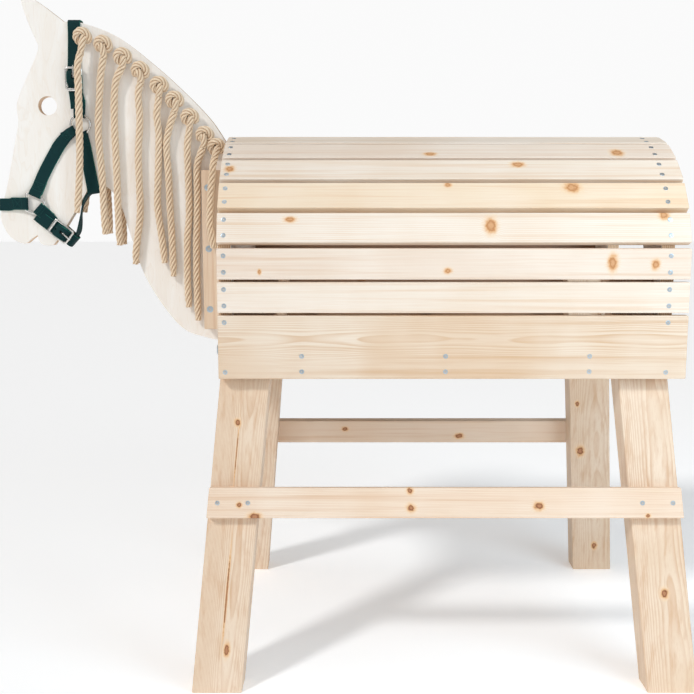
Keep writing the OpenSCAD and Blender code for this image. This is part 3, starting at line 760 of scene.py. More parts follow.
def head_board():
    outline = []
    for run in (CREST, EAR_BACK, EAR_FRONT, FACE, LIP_AND_JAW, THROAT):
        outline += curve_2d(run)
    outline.append(THROAT[-1])
    holes = [circle(*EYE, EYE_R, 56)] + [circle(x, z, MANE_HOLE_R, 24) for x, z in MANE_HOLES]
    lines = [[((x + FRONT_X) * MM, z * MM) for x, z in line] for line in [outline] + holes]
    thick = HEAD_T * MM
    stuff = plywood("birch plywood head", Y, -thick / 2, thick, (0.15, 0, 1), 13)
    place = Matrix.Rotation(math.radians(90), 4, "X")
    plate("head_plate", lines, thick, place, stuff, "head_board", "birch_plywood_head")


ARCH_PITCH = 49  # from corner to corner of the arch under the slats, mm
ARCH_SHOULDER = 658
ARCH_BOTTOM = 464
ARCH_WALL = 85  # wood left round the rear arch's opening


def arch_outline():
    """The arches' half outline from the bottom corner to the ridge: (across, up)."""
    corners = [(0.0, ARCH_SHOULDER)]
    for tilt in SLAT_TILTS[2:]:
        y, z = corners[-1]
        t = math.radians(tilt)
        corners.append((y - ARCH_PITCH * math.sin(t), z + ARCH_PITCH * math.cos(t)))
    half = ARCH_PITCH / 2 - corners[-1][0]
    return [(half, ARCH_BOTTOM)] + [(half + y, z) for y, z in corners]


def arches():
    right = arch_outline()
    full = right + [(-y, z) for y, z in reversed(right)]
    gap = right[0][0] - ARCH_WALL
    top = right[-1][1] - ARCH_WALL - gap
    turns = [math.pi * k / 40 for k in range(41)]
    opening = [(-gap, ARCH_BOTTOM)]
    opening += [(-gap * math.cos(a), top + gap * math.sin(a)) for a in turns]
    opening.append((gap, ARCH_BOTTOM))
    for node, line in (("front_panel", full), ("rear_arch", full + opening)):
        low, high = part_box(node)
        thick = high.x - low.x
        line = [(y * MM, z * MM) for y, z in line]
        place = Matrix(((0, 0, 1, (low.x + high.x) / 2), (1, 0, 0, 0), (0, 1, 0, 0), (0, 0, 0, 1)))
        stuff = plywood(f"birch plywood {node}", X, low.x, thick, (0, 0.1, 1), 15)
        plate(node + "_plate", [line], thick, place, stuff, node, "birch_plywood_arches")


# --- Fasteners -----------------------------------------------------------------------------
def metal(name, light, dark, rough):
    g = Graph(name)
    pos = g.place()
    cloud = g.noise(pos, 90.0, 3, 0.6)
    fine = g.noise(pos, 1900.0, 2, 0.6)
    col = g.mix(g.spread(cloud, 0.35, 0.7), light, dark)
    r = g.spread(g.plus(cloud, g.mul(fine, 0.25)), 0.4, 0.9, rough, rough + 0.2)
    return g.surface(col, r, g.bump(fine, 0.15, 0.0002), Metallic=1.0)


def screws_of(node):
    """Each screw of a CAD node: its head's middle, the way out of the wood, its head's radius."""
    bm = bmesh.new()
    bm.from_mesh(nodes[node].data)
    bmesh.ops.remove_doubles(bm, verts=bm.verts, dist=2e-6)
    left = set(bm.verts)
    found = []
    while left:
        todo = [left.pop()]
        island = []
        while todo:
            v = todo.pop()
            island.append(v.co.copy())
            for e in v.link_edges:
                other = e.other_vert(v)
                if other in left:
                    left.remove(other)
                    todo.append(other)
        found.append(island)
    bm.free()
    out = []
    for island in found:
        mean = sum(island, Vector()) / len(island)
        far = max(island, key=lambda p: (p - mean).length)
        axis = (mean - far).normalized()
        top = max(axis.dot(p) for p in island)
        face = [p for p in island if top - axis.dot(p) < 1e-3]
        axis = (sum(face, Vector()) / len(face) - far).normalized()
        top = max(axis.dot(p) for p in island)
        on = far + axis * (top - axis.dot(far))
        radius = max((p - on - axis * axis.dot(p - on)).length for p in island)
        out.append((on, axis, radius))
    return sorted(out, key=lambda s: tuple(round(c, 5) for c in s[0]))


HEAD_POINTS = 32
# A head's profile from below the wood to its recess: (radius, height), times the head's radius
HEAD_PROFILE = [(0.46, -0.52), (0.97, -0.10), (0.985, 0.0), (0.93, 0.05), (0.62, 0.085)]
RECESS_PROFILE = [(1.06, 0.085), (0.98, 0.03), (0.72, -0.42)]


def screw_head(place, axis, radius, turn, verts, faces):
    """A countersunk head with a cross recess, its rim just below the wood's face."""
    u = axis.orthogonal().normalized()
    v = axis.cross(u)
    n, base = HEAD_POINTS, len(verts)
    angles = [math.tau * k / n for k in range(n)]
    cross = [0.17 + 0.37 * max(0.0, math.cos(4 * a)) ** 1.6 for a in angles]
    round_ring = [1.0] * n
    profile = [(r, z, round_ring) for r, z in HEAD_PROFILE]
    profile += [(r, z, cross) for r, z in RECESS_PROFILE]
    for r, z, shape in profile:
        for a, wide in zip(angles, shape):
            out = u * math.cos(a + turn) + v * math.sin(a + turn)
            verts.append(place + out * (radius * r * wide) + axis * (z * radius))
    faces += tube_faces(len(profile), n, base)
    faces.append(tuple(range(base, base + n))[::-1])
    last, centre = len(verts) - n, len(verts)
    verts.append(place - axis * 0.5 * radius)
    faces += [(last + k, last + (k + 1) % n, centre) for k in range(n)]


def screws(node, material):
    rnd = random.Random(len(node))
    verts, faces = [], []
    for place, axis, radius in screws_of(node):
        screw_head(place, axis, radius, rnd.uniform(0, math.tau), verts, faces)
    obj = new_object(node + "_heads", verts, faces, material, smooth=False)
    fix_normals(obj.data)
    belongs(obj, "horse", "zinc_fasteners", node)


def fasteners():
    zinc = metal("zinc plating", srgb(206, 216, 222), srgb(168, 182, 192), 0.26)
    screws("wood_screws", zinc)
    screws("neck_screws", zinc)
    bolts = nodes["leg_bolts"]
    bolts.data.materials.clear()
    bolts.data.materials.append(zinc)


barrel()
legs_and_rails()
head_board()
arches()
fasteners()


# --- Halter --------------------------------------------------------------------------------
# All in millimetres; a y here is a distance out from the head's middle plane
WEB_W = 20.0
WEB_T = 1.8
BAND_Y = HEAD_T / 2 + 1.9  # webbing that lies on the head
RING_Y = HEAD_T / 2 + 5
BUCKLE_Y = HEAD_T / 2 + 6.5
FOLD_R = 3.0
CROWN_X = -248.5
CROWN_BAR_Z = 920  # the crown buckle's bar
CREST_Z = 1008.4
CHEEK_RING = (-241, 845)
CHEEK_RING_R = 15.5
CHIN_START = (-320, 711.5)
CHIN_BAR_S = 59  # the chin buckle's bar, along the strap from its start
SLOT = (15.6, 4.4)  # length and width of the slot that a tongue swings through
CHAPE_SLOT = (9, 4.6)
PUNCHED = (3.2, 3.19)
UP = (0, 1)
LEVEL = (1, 0, 0)


def slope(degrees):
    """The way (x, z) at an angle above level."""
    return math.cos(math.radians(degrees)), math.sin(math.radians(degrees))


CHIN_WAY = slope(-43)
THROAT_WAY = slope(-81)


def smooth_rows(rows, spacing):
    """Rows of numbers, a point first, on a smooth curve, evenly spaced along the point's path."""
    p = np.array(rows, float)
    p = np.vstack([2 * p[0] - p[1], p, 2 * p[-1] - p[-2]])
    out = []
    for i in range(1, len(p) - 2):
        a, b, c, d = p[i - 1 : i + 3]
        out += [on_curve(a, b, c, d, k / 6) for k in range(6)]
    out.append(p[-2])
    out = np.array(out)
    far = np.concatenate([[0], np.cumsum(np.linalg.norm(np.diff(out[:, :3], axis=0), axis=1))])
    want = np.linspace(0, far[-1], max(3, round(far[-1] / spacing)))
    return np.stack([np.interp(want, far, out[:, k]) for k in range(out.shape[1])], axis=1)


class Ribbon:
    """Flat webbing along rows of (x, y, z, across x, y, z, width) in millimetres."""

    def __init__(self, name, rows, side=-1, thick=WEB_T, bow=None):
        rows = smooth_rows(rows, 1.5)
        rows[:, [1, 4]] *= -side
        self.p = [at(*r[:3]) for r in rows]
        self.width = rows[:, 6] * MM
        self.s = [0.0]
        for a, b in zip(self.p, self.p[1:]):
            self.s.append(self.s[-1] + (b - a).length)
        self.a, self.n = [], []
        for i, r in enumerate(rows):
            t = (self.p[min(i + 1, len(rows) - 1)] - self.p[max(i - 1, 0)]).normalized()
            a = Vector(r[3:6])
            a = (a - t * a.dot(t)).normalized()
            self.a.append(a)
            self.n.append(t.cross(a))
        self.thick = thick * MM
        self.name = name
        self.bow = bow

    def point(self, i, v, lift):
        """A point on the ribbon: v from -1 to 1 across it, lift from its middle plane."""
        half = self.width[i] / 2
        p = self.p[i] + self.a[i] * (v * half) + self.n[i] * lift
        return p + self.bow(self, i, v) if self.bow else p

    def build(self, material):
        across = [-0.97, -0.8, -0.55, -0.28, 0, 0.28, 0.55, 0.8, 0.97]
        ht = self.thick / 2
        section = [(v, ht) for v in across] + [(1.0, ht * 0.45), (1.0, -ht * 0.45)]
        section += [(v, -ht) for v in reversed(across)] + [(-1.0, -ht * 0.45), (-1.0, ht * 0.45)]
        n = len(section)
        verts, uvs = [], []
        for i in range(len(self.p)):
            for v, lift in section:
                verts.append(self.point(i, v, lift))
                uvs.append((self.s[i], v * self.width[i] / 2))
        faces = tube_faces(len(self.p), n, caps=True)
        self.obj = new_object(self.name, verts, faces, material, uvs=uvs)
        fix_normals(self.obj.data)
        mod = self.obj.modifiers.new("edges", "EDGE_SPLIT")
        mod.split_angle = math.radians(50)
        return self

    def index(self, s):
        s = s * MM if s >= 0 else self.s[-1] + s * MM
        return min(range(len(self.s)), key=lambda i: abs(self.s[i] - s))

    def stitches(self, rows, verts, faces):
        """Thread stitches on the outer face; a row is (s, v) to (s, v), v in millimetres."""
        for (s0, v0), (s1, v1) in rows:
            count = max(2, round(math.dist((s0, v0), (s1, v1)) / STITCH))
            for k in range(count):
                ends = []
                for f in ((k + 0.12) / count, (k + 0.88) / count):
                    i = self.index(s0 + (s1 - s0) * f)
                    out = 1 if self.n[i].y * self.p[i].y > 0 else -1
                    v = (v0 + (v1 - v0) * f) * MM / (self.width[i] / 2)
                    on = self.point(i, v, out * (self.thick / 2 + 0.05 * MM))
                    ends.append((on, self.n[i] * out))
                thread(ends, verts, faces)


STITCH = 2.9
# A stitch's bead: (how far along, half width, height); and round it: (across, up)
BEAD_RINGS = ((0, 0.12, 0.0), (0.2, 0.36, 0.26), (0.5, 0.42, 0.34), (0.8, 0.36, 0.26), (1, 0.12, 0))
BEAD_SECTION = ((-1, -0.5), (-0.7, 0.6), (0, 1), (0.7, 0.6), (1, -0.5))


def thread(ends, verts, faces):
    """One stitch: a low rounded bead between two points on the webbing."""
    (p0, n0), (p1, n1) = ends
    along = p1 - p0
    if along.length < 0.3 * MM:
        return
    side = along.normalized().cross(n0).normalized()
    base = len(verts)
    for f, r, h in BEAD_RINGS:
        p = p0.lerp(p1, f)
        for x, z in BEAD_SECTION:
            verts.append(p + side * (x * r * MM) + n0 * ((z * h + 0.02) * MM))
    faces += tube_faces(len(BEAD_RINGS), len(BEAD_SECTION), base, caps=True)


def box_stitch(s0, s1, half=7.4):
    """A box with a cross in it, sewn from s0 to s1 along the strap."""
    a, b, c, d = (s0, -half), (s0, half), (s1, -half), (s1, half)
    return [(a, c), (b, d), (a, b), (c, d), (a, d), (b, c)]


def webbing_material():
    g = Graph("halter webbing")
    uv = g.add("UVMap").outputs[0]
    part = g.add("SeparateXYZ", {0: uv})
    u, v = part.outputs[0], part.outputs[1]
    warp = g.math("SINE", g.mul(v, math.tau / 0.0013))
    chevron = g.math("PINGPONG", v, 0.0033)
    weft = g.math("SINE", g.mul(g.plus(u, chevron), math.tau / 0.0016))
    weave = g.mul_add(g.mul(warp, weft), 0.5, 0.5)
    fuzz = g.noise(g.scaled(uv, (900, 900, 1)), 1.0, 3, 0.7)
    worn = g.noise(g.place(), 45.0, 2)
    col = g.mix(weave, srgb(4, 30, 34), srgb(14, 64, 64))
    col = g.mix(g.spread(fuzz, 0.55, 0.8, 0.0, 0.3), col, srgb(34, 98, 94))
    col = g.mix(g.spread(worn, 0.5, 0.75, 0.0, 0.25), col, srgb(8, 44, 52))
    # painted highlight: a brighter teal along both edges of the webbing
    rim = g.spread(g.math("ABSOLUTE", v), 0.0092, 0.0099, 0.0, 0.8)
    col = g.mix(rim, col, srgb(40, 128, 112))
    height = g.mul_add(fuzz, 0.35, weave)
    normal = g.bump(height, 0.7, 0.00035)
    return g.surface(col, 0.8, normal, Sheen_Weight=0.05, Specular_IOR_Level=0.18)


def thread_material():
    g = Graph("halter thread")
    pos = g.place()
    twist = g.noise(pos, 2400.0, 2)
    col = g.mix(twist, srgb(12, 56, 56), srgb(30, 88, 82))
    return g.surface(col, 0.75, g.bump(twist, 0.4, 0.0002), Specular_IOR_Level=0.2)


def rows_at(points, across):
    return [(*p, *across, WEB_W) for p in points]


def fold_rows(bar, way, across, bar_y=RING_Y, back=24, pinch=WEB_W):
    """Webbing folded round a bar, from its sewn end behind up to the strap in front:
    bar and way are (x, z), way leading from the bar into the strap."""
    turn = [(back, BAND_Y), (back * 0.6, BAND_Y), (6, BAND_Y), (1.2, bar_y - FOLD_R)]
    for degrees in (-50, -20, 20, 50):
        c, up = slope(degrees)
        turn.append((-FOLD_R * c, bar_y + FOLD_R * up))
    turn += [(0.5, bar_y + FOLD_R), (5, bar_y + FOLD_R - 1.3)]
    turn += [(12, BAND_Y + 2.5), (20, BAND_Y + 2.0)]
    rows = []
    for d, y in turn:
        w = pinch + (WEB_W - pinch) * min(1, max(0, d) / 20)
        rows.append((bar[0] + way[0] * d, -y, bar[1] + way[1] * d, *across, w))
    return rows


def flipped(rows):
    """The same rows on the head's other side, followed the other way."""
    return [(r[0], -r[1], *r[2:]) for r in reversed(rows)]


def over_buckle(bar, place):
    """The strap's rows under the keeper, over the bar and under the front bar."""
    run = [(-18, 12.9), (-14, 13.6), (-9.5, 17.3), (-5, 20.2), (-1, 20.9), (3, 20.3), (7, 17.0),
           (10, 13.9), (13, 12.8)]
    return [place(bar + d, -y) for d, y in run]


def round_bar(bar, place):
    """The chape's rows folded round the buckle's bar and back on itself."""
    run = [(-14, 10.9), (-8, 11.2), (-3, 12.1), (0.8, 12.9), (2.4, 14.3), (2.6, 15.9),
           (1.5, 17.6), (-1, 18.1), (-4.5, 17.2), (-8, 14.6), (-11.5, 13.0)]
    return [place(bar + d, -y) for d, y in run]


def ring_bow(*sides):
    """Moves a fold's edges along the strap so that it follows the round cheek ring:
    sides are (-1 left or 1 right, the way from the ring into the strap)."""
    radius = CHEEK_RING_R * MM

    def bow(ribbon, i, v):
        moved = Vector()
        for side, way in sides:
            p = ribbon.p[i]
            if p.y * side < 0:
                continue
            d = Vector((way[0], 0, way[1]))
            gap = (p - at(CHEEK_RING[0], 0, CHEEK_RING[1])).dot(d) - radius
            near = math.exp(-((gap / (9 * MM)) ** 2))
            half = v * ribbon.width[i] / 2
            moved -= d * (radius - math.sqrt(max(0.0, radius**2 - half**2))) * near
        return moved

    return bow


def cut_holes(obj, long_way, cutters):
    """Cuts holes and slots straight through towards the head: ((x, y, z), (length, width))."""
    through, long_way = Vector(Y), Vector((long_way[0], 0, long_way[1]))
    side = through.cross(long_way)
    n = 16
    verts, faces = [], []
    for place, (length, width) in cutters:
        base = len(verts)
        for lift in (-4, 4):
            for k in range(n):
                a = math.tau * (k + 0.5) / n
                straight = math.copysign((length - width) / 2, math.cos(a))
                off = long_way * (straight + width / 2 * math.cos(a))
                off += side * (width / 2 * math.sin(a)) + through * lift
                verts.append(at(*place) + off * MM)
        faces += tube_faces(2, n, base, caps=True)
    cutter = new_object("cutter", verts, faces, obj.data.materials[0], smooth=False)
    fix_normals(cutter.data)
    mod = obj.modifiers.new("holes", "BOOLEAN")
    mod.object, mod.operation, mod.solver = cutter, "DIFFERENCE", "EXACT"
    bpy.context.view_layer.update()
    seen = obj.evaluated_get(bpy.context.evaluated_depsgraph_get())
    done = bpy.data.meshes.new_from_object(seen)
    obj.modifiers.clear()
    obj.data = done
    bpy.data.objects.remove(cutter)


def unit2(x, z):
    r = math.hypot(x, z)
    return x / r, z / r


class Halter:
    """The straps, each in the place of its CAD node, and the thread that sews them."""

    def __init__(self):
        self.webbing = webbing_material()
        self.sewn = ([], [])
        for part in (self.crown, self.cheeks, self.throat, self.nose, self.chin, self.jaw):
            part()
        stitches = new_object("halter_stitches", *self.sewn, thread_material())
        fix_normals(stitches.data)
        belongs(stitches, "horse", "halter_webbing")

    def strap(self, node, rows, sewing, **more):
        ribbon = Ribbon(node + "_web", rows, **more).build(self.webbing)
        belongs(ribbon.obj, "horse", "halter_webbing", node)
        for rows in sewing:
            ribbon.stitches(rows, *self.sewn)
        return ribbon.obj

    def crown(self):
        """Its tail, the buckle, over the crest and down to the right cheek ring; its chape."""
        def place(x):
            return lambda s, y: (x, y, s, *LEVEL, WEB_W)

        x0, x1 = CROWN_X, CROWN_X + 2.5
        rows = rows_at([(-245.6, -12.9, 870), (-245.8, -12.9, 876), (-246.4, -12.9, 884),
                        (-247.2, -12.9, 892)], LEVEL)
        rows += over_buckle(CROWN_BAR_Z, place(x0))
        rows += rows_at([(x0 + 0.8, -11.4, 946), (x0 + 1.3, -10.9, 960), (x1, -10.9, 985),
                         (x1, -10.6, 1002), (x1, -8.6, CREST_Z - 0.8), (x1, -4, CREST_Z),
                         (x1, 4, CREST_Z), (x1, 8.6, CREST_Z - 0.8), (x1, 10.6, 1002),
                         (x1, 10.9, 985), (x0 + 1, 10.9, 940), (x0 + 1.5, 10.9, 915),
                         (x0 + 3, 11.1, 898)], LEVEL)
        ring_x, ring_z = CHEEK_RING[0], CHEEK_RING[1] + CHEEK_RING_R
        rows += flipped(fold_rows((ring_x - 2, ring_z), UP, LEVEL, pinch=17))
        web = self.strap("crown_strap", rows, [box_stitch(-52, -38, 6.8)], bow=ring_bow((1, UP)))
        cut_holes(web, UP, [((x0, -19, CROWN_BAR_Z + 3.4), SLOT),
                            ((x0, -14.9, CROWN_BAR_Z - 24), PUNCHED),
                            ((x0, -14.9, CROWN_BAR_Z - 36), PUNCHED)])

        rows = fold_rows((ring_x - 1, ring_z), UP, LEVEL, pinch=17)
        rows += rows_at([(x0 + 3.4, -11.0, 894), (x0 + 3.5, -10.9, 901)], LEVEL)
        rows += round_bar(CROWN_BAR_Z, place(x0 + 3.5))
        web = self.strap("crown_chape", rows, [box_stitch(40, 53, 6.8)], bow=ring_bow((-1, UP)))
        cut_holes(web, UP, [((x0, -15.5, CROWN_BAR_Z + 1), CHAPE_SLOT)])

    def cheeks(self):
        """From each nose ring up to the cheek ring."""
        low_bar, high_bar = (-319, 733.2), (-252.9, 835.2)
        low_way, high_way = unit2(10, 22), unit2(-10.5, -7.5)
        route = [low_bar, (-305.2, 764), (-295.5, 782), (-286, 798), (-276.4, 813), high_bar]
        for side, word in SIDES:
            rows = fold_rows(low_bar, low_way, (low_way[1], 0, -low_way[0]))
            for i in range(1, 5):
                (x0, z0), (x, z), (x1, z1) = route[i - 1 : i + 2]
                w = unit2(x1 - x0, z1 - z0)
                rows.append((x, -BAND_Y - (0.5 if i in (1, 4) else 0), z, w[1], 0, -w[0], WEB_W))
            tail = fold_rows(high_bar, high_way, (-high_way[1], 0, high_way[0]), RING_Y + 0.4,
                             back=20, pinch=14)
            rows += tail[::-1][1:]
            self.strap(f"cheek_strap_{word}", rows, [box_stitch(41, 55), box_stitch(-48, -37, 5.4)],
                       side=side, bow=ring_bow((-1, high_way), (1, high_way)))

    def throat(self):
        """Under the throat from ring to ring."""
        way = THROAT_WAY
        across = (-way[1], 0, way[0])
        bottom = (CHEEK_RING[0] + way[0] * CHEEK_RING_R, CHEEK_RING[1] + way[1] * CHEEK_RING_R)
        fold = fold_rows(bottom, way, across, pinch=17)
        half = [(34, 10.9), (60, 10.9), (84, 10.9), (91, 10.4), (94.6, 7.5), (95.4, 3.5)]
        run = [(d, -y) for d, y in half] + half[::-1]
        points = [(bottom[0] + way[0] * d, y, bottom[1] + way[1] * d) for d, y in run]
        rows = rows_at(points, across)
        self.strap("throat_strap", fold + rows + flipped(fold),
                   [box_stitch(40, 53, 6.8), box_stitch(-53, -40, 6.8)],
                   bow=ring_bow((-1, way), (1, way)))

    def nose(self):
        """From the left nose ring round the nose to the right one."""
        fold = fold_rows((-335, 718.5), (-1, 0), Z)
        half = [(-362, 10.9), (-372, 10.9), (-377.5, 10.2), (-379.6, 7.5), (-380, 3)]
        run = [(x, -y) for x, y in half] + half[::-1]
        rows = fold + rows_at([(x, y, 717) for x, y in run], Z) + flipped(fold)
        self.strap("noseband", rows, [box_stitch(40, 54), box_stitch(-54, -40)])

    def chin(self):
        """Its tail, the buckle, under the jaw and up to the right nose ring; its chape."""
        way = CHIN_WAY
        across = (-way[1], 0, way[0])
        nose_bar = (-313.6, 710.2)

        def place(s, y, shift=0.0):
            x, z = CHIN_START[0] + way[0] * s, CHIN_START[1] + way[1] * s
            return (x + across[0] * shift, y, z + across[2] * shift, *across, WEB_W)

        rows = [place(9.5, -13.2, -6.2), place(16, -13.3, -6.0), place(24, -13.2, -5.5),
                place(32, -13.0, -4.6)]
        rows += over_buckle(CHIN_BAR_S, lambda s, y: place(s, y, -0.2 * max(0, CHIN_BAR_S + 2 - s)))
        rows += [place(s, y) for s, y in (
            (76, -12.6), (79.5, -11.5), (81.8, -8), (82.4, -3), (82.3, 3), (81.2, 7.8), (78, 10.5),
            (72, 10.9), (60, 10.9), (48, 10.9), (34, 11.1))]
        rows += flipped(fold_rows(nose_bar, way, across))
        web = self.strap("chin_strap", rows, [box_stitch(-54, -40)])
        cut_holes(web, way, [(place(CHIN_BAR_S + 3.4, -19)[:3], SLOT),
                             (place(CHIN_BAR_S - 12.5, -15.5, -2.9)[:3], PUNCHED)])

        rows = fold_rows(nose_bar, way, across)[:-1]
        rows += [place(24, -12.0, 2.9), place(31, -11.1, 2.2), place(40, -10.9, 1)]
        rows += round_bar(CHIN_BAR_S, place)
        lines = [((37, -7.5), (37, 7.5)), ((41, -7.5), (41, 7.5))]
        web = self.strap("chin_chape", rows, [lines])
        cut_holes(web, way, [(place(CHIN_BAR_S + 1, -15.5)[:3], CHAPE_SLOT)])

    def jaw(self):
        """A narrow strap sewn between the throat strap and the chin strap."""
        route = [(-226, 741), (-232, 736), (-239.5, 728), (-245, 716), (-248, 702), (-250, 688),
                 (-253, 674), (-258, 664)]
        rows = []
        for i, (x, z) in enumerate(route):
            width = 19.0 if i in (0, len(route) - 1) else 17.5
            rows.append((x, 0.6 * math.sin(i), z, 0.16 * math.sin(i * 1.3), 1, 0, width))
        self.strap("jaw_strap", rows, [], thick=2.0)


# --- Buckles and rings ---------------------------------------------------------------------
def swept(name, rows, material, sides=12, closed=False):
    """A rod of oval section along rows of (x, y, z, side x, y, z, half width, half height)."""
    p = [at(*r[:3]) for r in rows]
    last = len(rows) - 1
    verts = []
    for i, r in enumerate(rows):
        before = p[i - 1] if closed or i else p[0]
        after = p[(i + 1) % len(p)] if closed or i < last else p[last]
        t = (after - before).normalized()
        a = Vector(r[3:6])
        a = (a - t * a.dot(t)).normalized()
        b = t.cross(a)
        for k in range(sides):
            turn = math.tau * k / sides
            off = a * (r[6] * MM * math.cos(turn)) + b * (r[7] * MM * math.sin(turn))
            verts.append(p[i] + off)
    faces = tube_faces(len(rows), sides, closed=closed, caps=not closed)
    obj = new_object(name, verts, faces, material)
    fix_normals(obj.data)
    return obj


def join(name, parts):
    """One object out of several, under a new name."""
    bm = bmesh.new()
    for o in parts:
        bm.from_mesh(o.data)
    mesh = bpy.data.meshes.new(name)
    bm.to_mesh(mesh)
    bm.free()
    mesh.materials.append(parts[0].data.materials[0])
    for o in parts:
        bpy.data.objects.remove(o)
    mesh.polygons.foreach_set("use_smooth", [True] * len(mesh.polygons))
    return linked(name, mesh)


# The buckles' frame from its bar, and its corners: half width, back, front, radius
FRAME_HALF, FRAME_BACK, FRAME_FRONT, FRAME_CORNER = 12, -20, 14, 3.2
# The tongue's pin: (along from the bar, out from the head's middle, half width, half height)
PIN = [(-0.2, 17.95, 1.3, 0.75), (2.5, 18.15, 1.4, 0.8), (6, 18.3, 1.4, 0.85),
       (10, 18.35, 1.3, 0.85), (13.5, 18.3, 1.2, 0.85), (16, 18.05, 1.05, 0.8),
       (17.2, 17.8, 0.8, 0.65), (17.6, 17.65, 0.3, 0.3)]
EYE_BEND_R = 2.15
NOSE_RING = [(-333.5, 735), (-311, 732), (-303.5, 719.5), (-322, 702.5), (-335.5, 707.5)]
NOSE_RING_CORNER = 2.6
WIRE_R = 2.0


def frame_rim():
    """Points (along, across) round a buckle's frame, at most about 3 mm apart."""
    r = FRAME_CORNER
    front, back, half = FRAME_FRONT - r, FRAME_BACK + r, FRAME_HALF - r
    corners = []
    for turn, (s, v) in enumerate(((front, half), (back, half), (back, -half), (front, -half))):
        for k in range(7):
            a = math.radians(90 * turn + 15 * k)
            corners.append((s + r * math.cos(a), v + r * math.sin(a)))
    rim = []
    for i, (s, v) in enumerate(corners):
        s2, v2 = corners[(i + 1) % len(corners)]
        count = max(1, round(math.dist((s, v), (s2, v2)) / 3))
        rim += [(s + (s2 - s) * k / count, v + (v2 - v) * k / count) for k in range(count)]
    return rim


def buckle(word, origin, way, nickel, lean=0.0):
    """A cast frame with a keeper, the tongue's bar between its sides, and the tongue."""
    side = (-way[1], way[0])

    def spot(s, v, y, lean=0.0):
        s, v = s - v * lean, v + s * lean
        return (origin[0] + way[0] * s + side[0] * v, -y, origin[1] + way[1] * s + side[1] * v)

    rows = []
    for s, v in frame_rim():
        at_front = max(0.0, 1 - abs(s - FRAME_FRONT) / 5)
        at_back = max(0.0, 1 - abs(s - FRAME_BACK) / 3)
        arch = 0.9 * math.sin(math.pi * (s - FRAME_BACK) / (FRAME_FRONT - FRAME_BACK))
        wide = 1.75 + 0.25 * at_front + 0.9 * at_back
        rows.append((*spot(s, v, BUCKLE_Y + arch, lean), *Y, 1.35 + 0.2 * at_front, wide))
    parts = [swept(word + "_rim", rows, nickel, closed=True)]
    bar = []
    for v in np.linspace(-FRAME_HALF, FRAME_HALF, 13):
        flare = (abs(v) / FRAME_HALF) ** 6
        bar.append((*spot(0, v, BUCKLE_Y, lean), *Y, 1.5 + 0.5 * flare, 1.5 + 0.7 * flare))
    parts.append(swept(word + "_bar", bar, nickel))
    cast = join(f"{word}_buckle_frame_cast", parts)
    belongs(cast, "horse", "nickel_hardware", f"{word}_buckle_frame")

    eye = []
    for k in range(20):
        a = math.tau * k / 20
        place = spot(EYE_BEND_R * math.cos(a), 0, BUCKLE_Y + EYE_BEND_R * math.sin(a))
        eye.append((*place, -side[0], 0, -side[1], 1.45, 0.6))
    pin = [(*spot(s, 0, y), side[0], 0, side[1], w, h) for s, y, w, h in PIN]
    parts = [swept(word + "_eye", eye, nickel, closed=True), swept(word + "_pin", pin, nickel)]
    cast = join(f"{word}_buckle_tongue_cast", parts)
    belongs(cast, f"{word}_tongue", "nickel_hardware", f"{word}_buckle_tongue")


def nose_ring_line():
    """Points round the nose ring: each corner rounded, then the straight to the next."""
    line = []
    for i, c in enumerate(NOSE_RING):
        here, after = Vector(c), Vector(NOSE_RING[(i + 1) % len(NOSE_RING)])
        before = Vector(NOSE_RING[i - 1])
        start = here.lerp(before, NOSE_RING_CORNER / (before - here).length)
        end = here.lerp(after, NOSE_RING_CORNER / (after - here).length)
        for k in range(6):
            t = k / 5
            line.append(start * (1 - t) ** 2 + here * 2 * t * (1 - t) + end * t * t)
        stop = after.lerp(here, NOSE_RING_CORNER / (after - here).length)
        line += [end.lerp(stop, k / 5) for k in range(1, 5)]
    return line


def rings(nickel):
    for side, word in SIDES:
        y = side * RING_Y
        rows = [(q.x, y, q.y, *Y, WIRE_R, WIRE_R) for q in nose_ring_line()]
        ring = swept(f"nose_ring_{word}_cast", rows, nickel, 14, True)
        belongs(ring, "horse", "nickel_hardware", f"nose_ring_{word}")
        rows = []
        for k, (x, z) in enumerate(circle(*CHEEK_RING, CHEEK_RING_R, 56)):
            r = WIRE_R + 0.28 * math.exp(-(((k - 20) / 1.2) ** 2))  # thicker at its weld
            rows.append((x, y, z, *Y, r, r))
        ring = swept(f"cheek_ring_{word}_wire", rows, nickel, 14, True)
        belongs(ring, "horse", "nickel_hardware", f"cheek_ring_{word}")


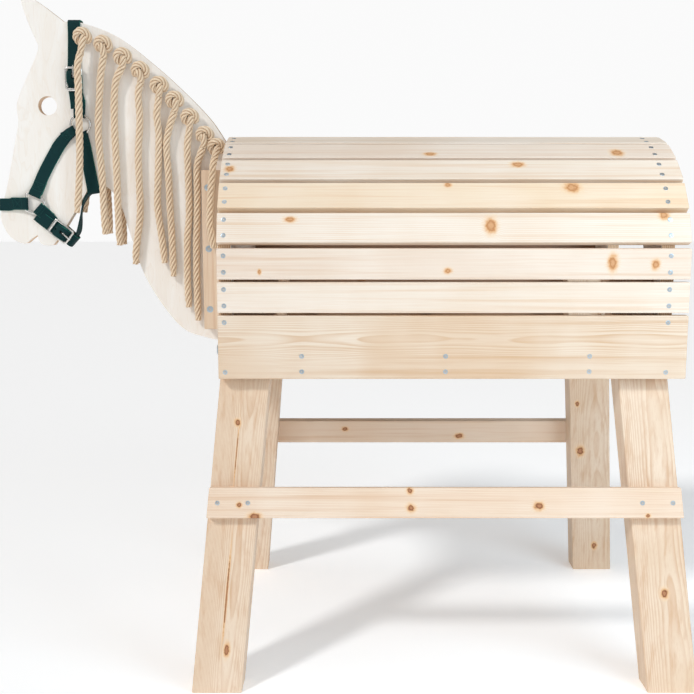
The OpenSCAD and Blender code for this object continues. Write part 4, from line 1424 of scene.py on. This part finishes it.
def halter():
    nickel = metal("nickel plating", srgb(236, 234, 230), srgb(206, 203, 198), 0.16)
    Halter()
    buckle("crown", (CROWN_X, CROWN_BAR_Z), UP, nickel)
    bar = tuple(CHIN_START[i] + CHIN_WAY[i] * CHIN_BAR_S for i in (0, 1))
    buckle("chin", bar, CHIN_WAY, nickel, 0.09)
    rings(nickel)


halter()


# --- Stage ---------------------------------------------------------------------------------
FLOOR_HALF = 14
WHITE = (1, 1, 1, 1)


def make_stage():
    """A white floor lit a little from within, in front of an even white background."""
    f = FLOOR_HALF
    corners = [(-f, -f, 0), (f, -f, 0), (f, f, 0), (-f, f, 0)]
    pale = Graph("pale floor").surface((0.99, 0.99, 0.99, 1), 0.9, Emission_Color=WHITE,
                                       Emission_Strength=0.24)
    new_object("floor", corners, [(0, 1, 2, 3)], pale, smooth=False)
    world = bpy.data.worlds.new("studio")
    scene.world = world
    world.use_nodes = True
    tree = world.node_tree
    back = tree.nodes["Background"]
    back.inputs[0].default_value = WHITE
    light = tree.nodes.new("ShaderNodeLightPath")
    level = tree.nodes.new("ShaderNodeMapRange")
    level.inputs["To Min"].default_value = 0.26
    level.inputs["To Max"].default_value = 0.96
    tree.links.new(light.outputs["Is Camera Ray"], level.inputs["Value"])
    tree.links.new(level.outputs[0], back.inputs[1])
    scene.view_settings.view_transform = "Standard"


def soft_sun(name, azimuth, elevation, power, spread):
    """Soft light from afar: azimuth 0 comes from the camera's side, minus from its left."""
    data = bpy.data.lights.new(name, "SUN")
    data.energy = power
    data.angle = math.radians(spread)
    a, e = math.radians(azimuth), math.radians(elevation)
    way = Vector((-math.sin(a) * math.cos(e), math.cos(a) * math.cos(e), -math.sin(e)))
    linked(name, data).rotation_euler = way.to_track_quat("-Z", "Y").to_euler()


def soft_panel(name, place, target, size, power, colour):
    data = bpy.data.lights.new(name, "AREA")
    data.color = colour
    data.energy = power
    data.size = size
    lamp = linked(name, data)
    lamp.location = place
    lamp.rotation_euler = (Vector(target) - Vector(place)).to_track_quat("-Z", "Y").to_euler()


make_stage()
soft_sun("key", -42, 40, 1.42, 8)
soft_sun("front", 12, 18, 0.2, 50)
soft_sun("top", 0, 84, 0.28, 30)
soft_panel("right side", (1.15, -1.0, 1.15), (0.45, -0.1, 0.62), 0.9, 10.0, (0.68, 0.86, 1.0))
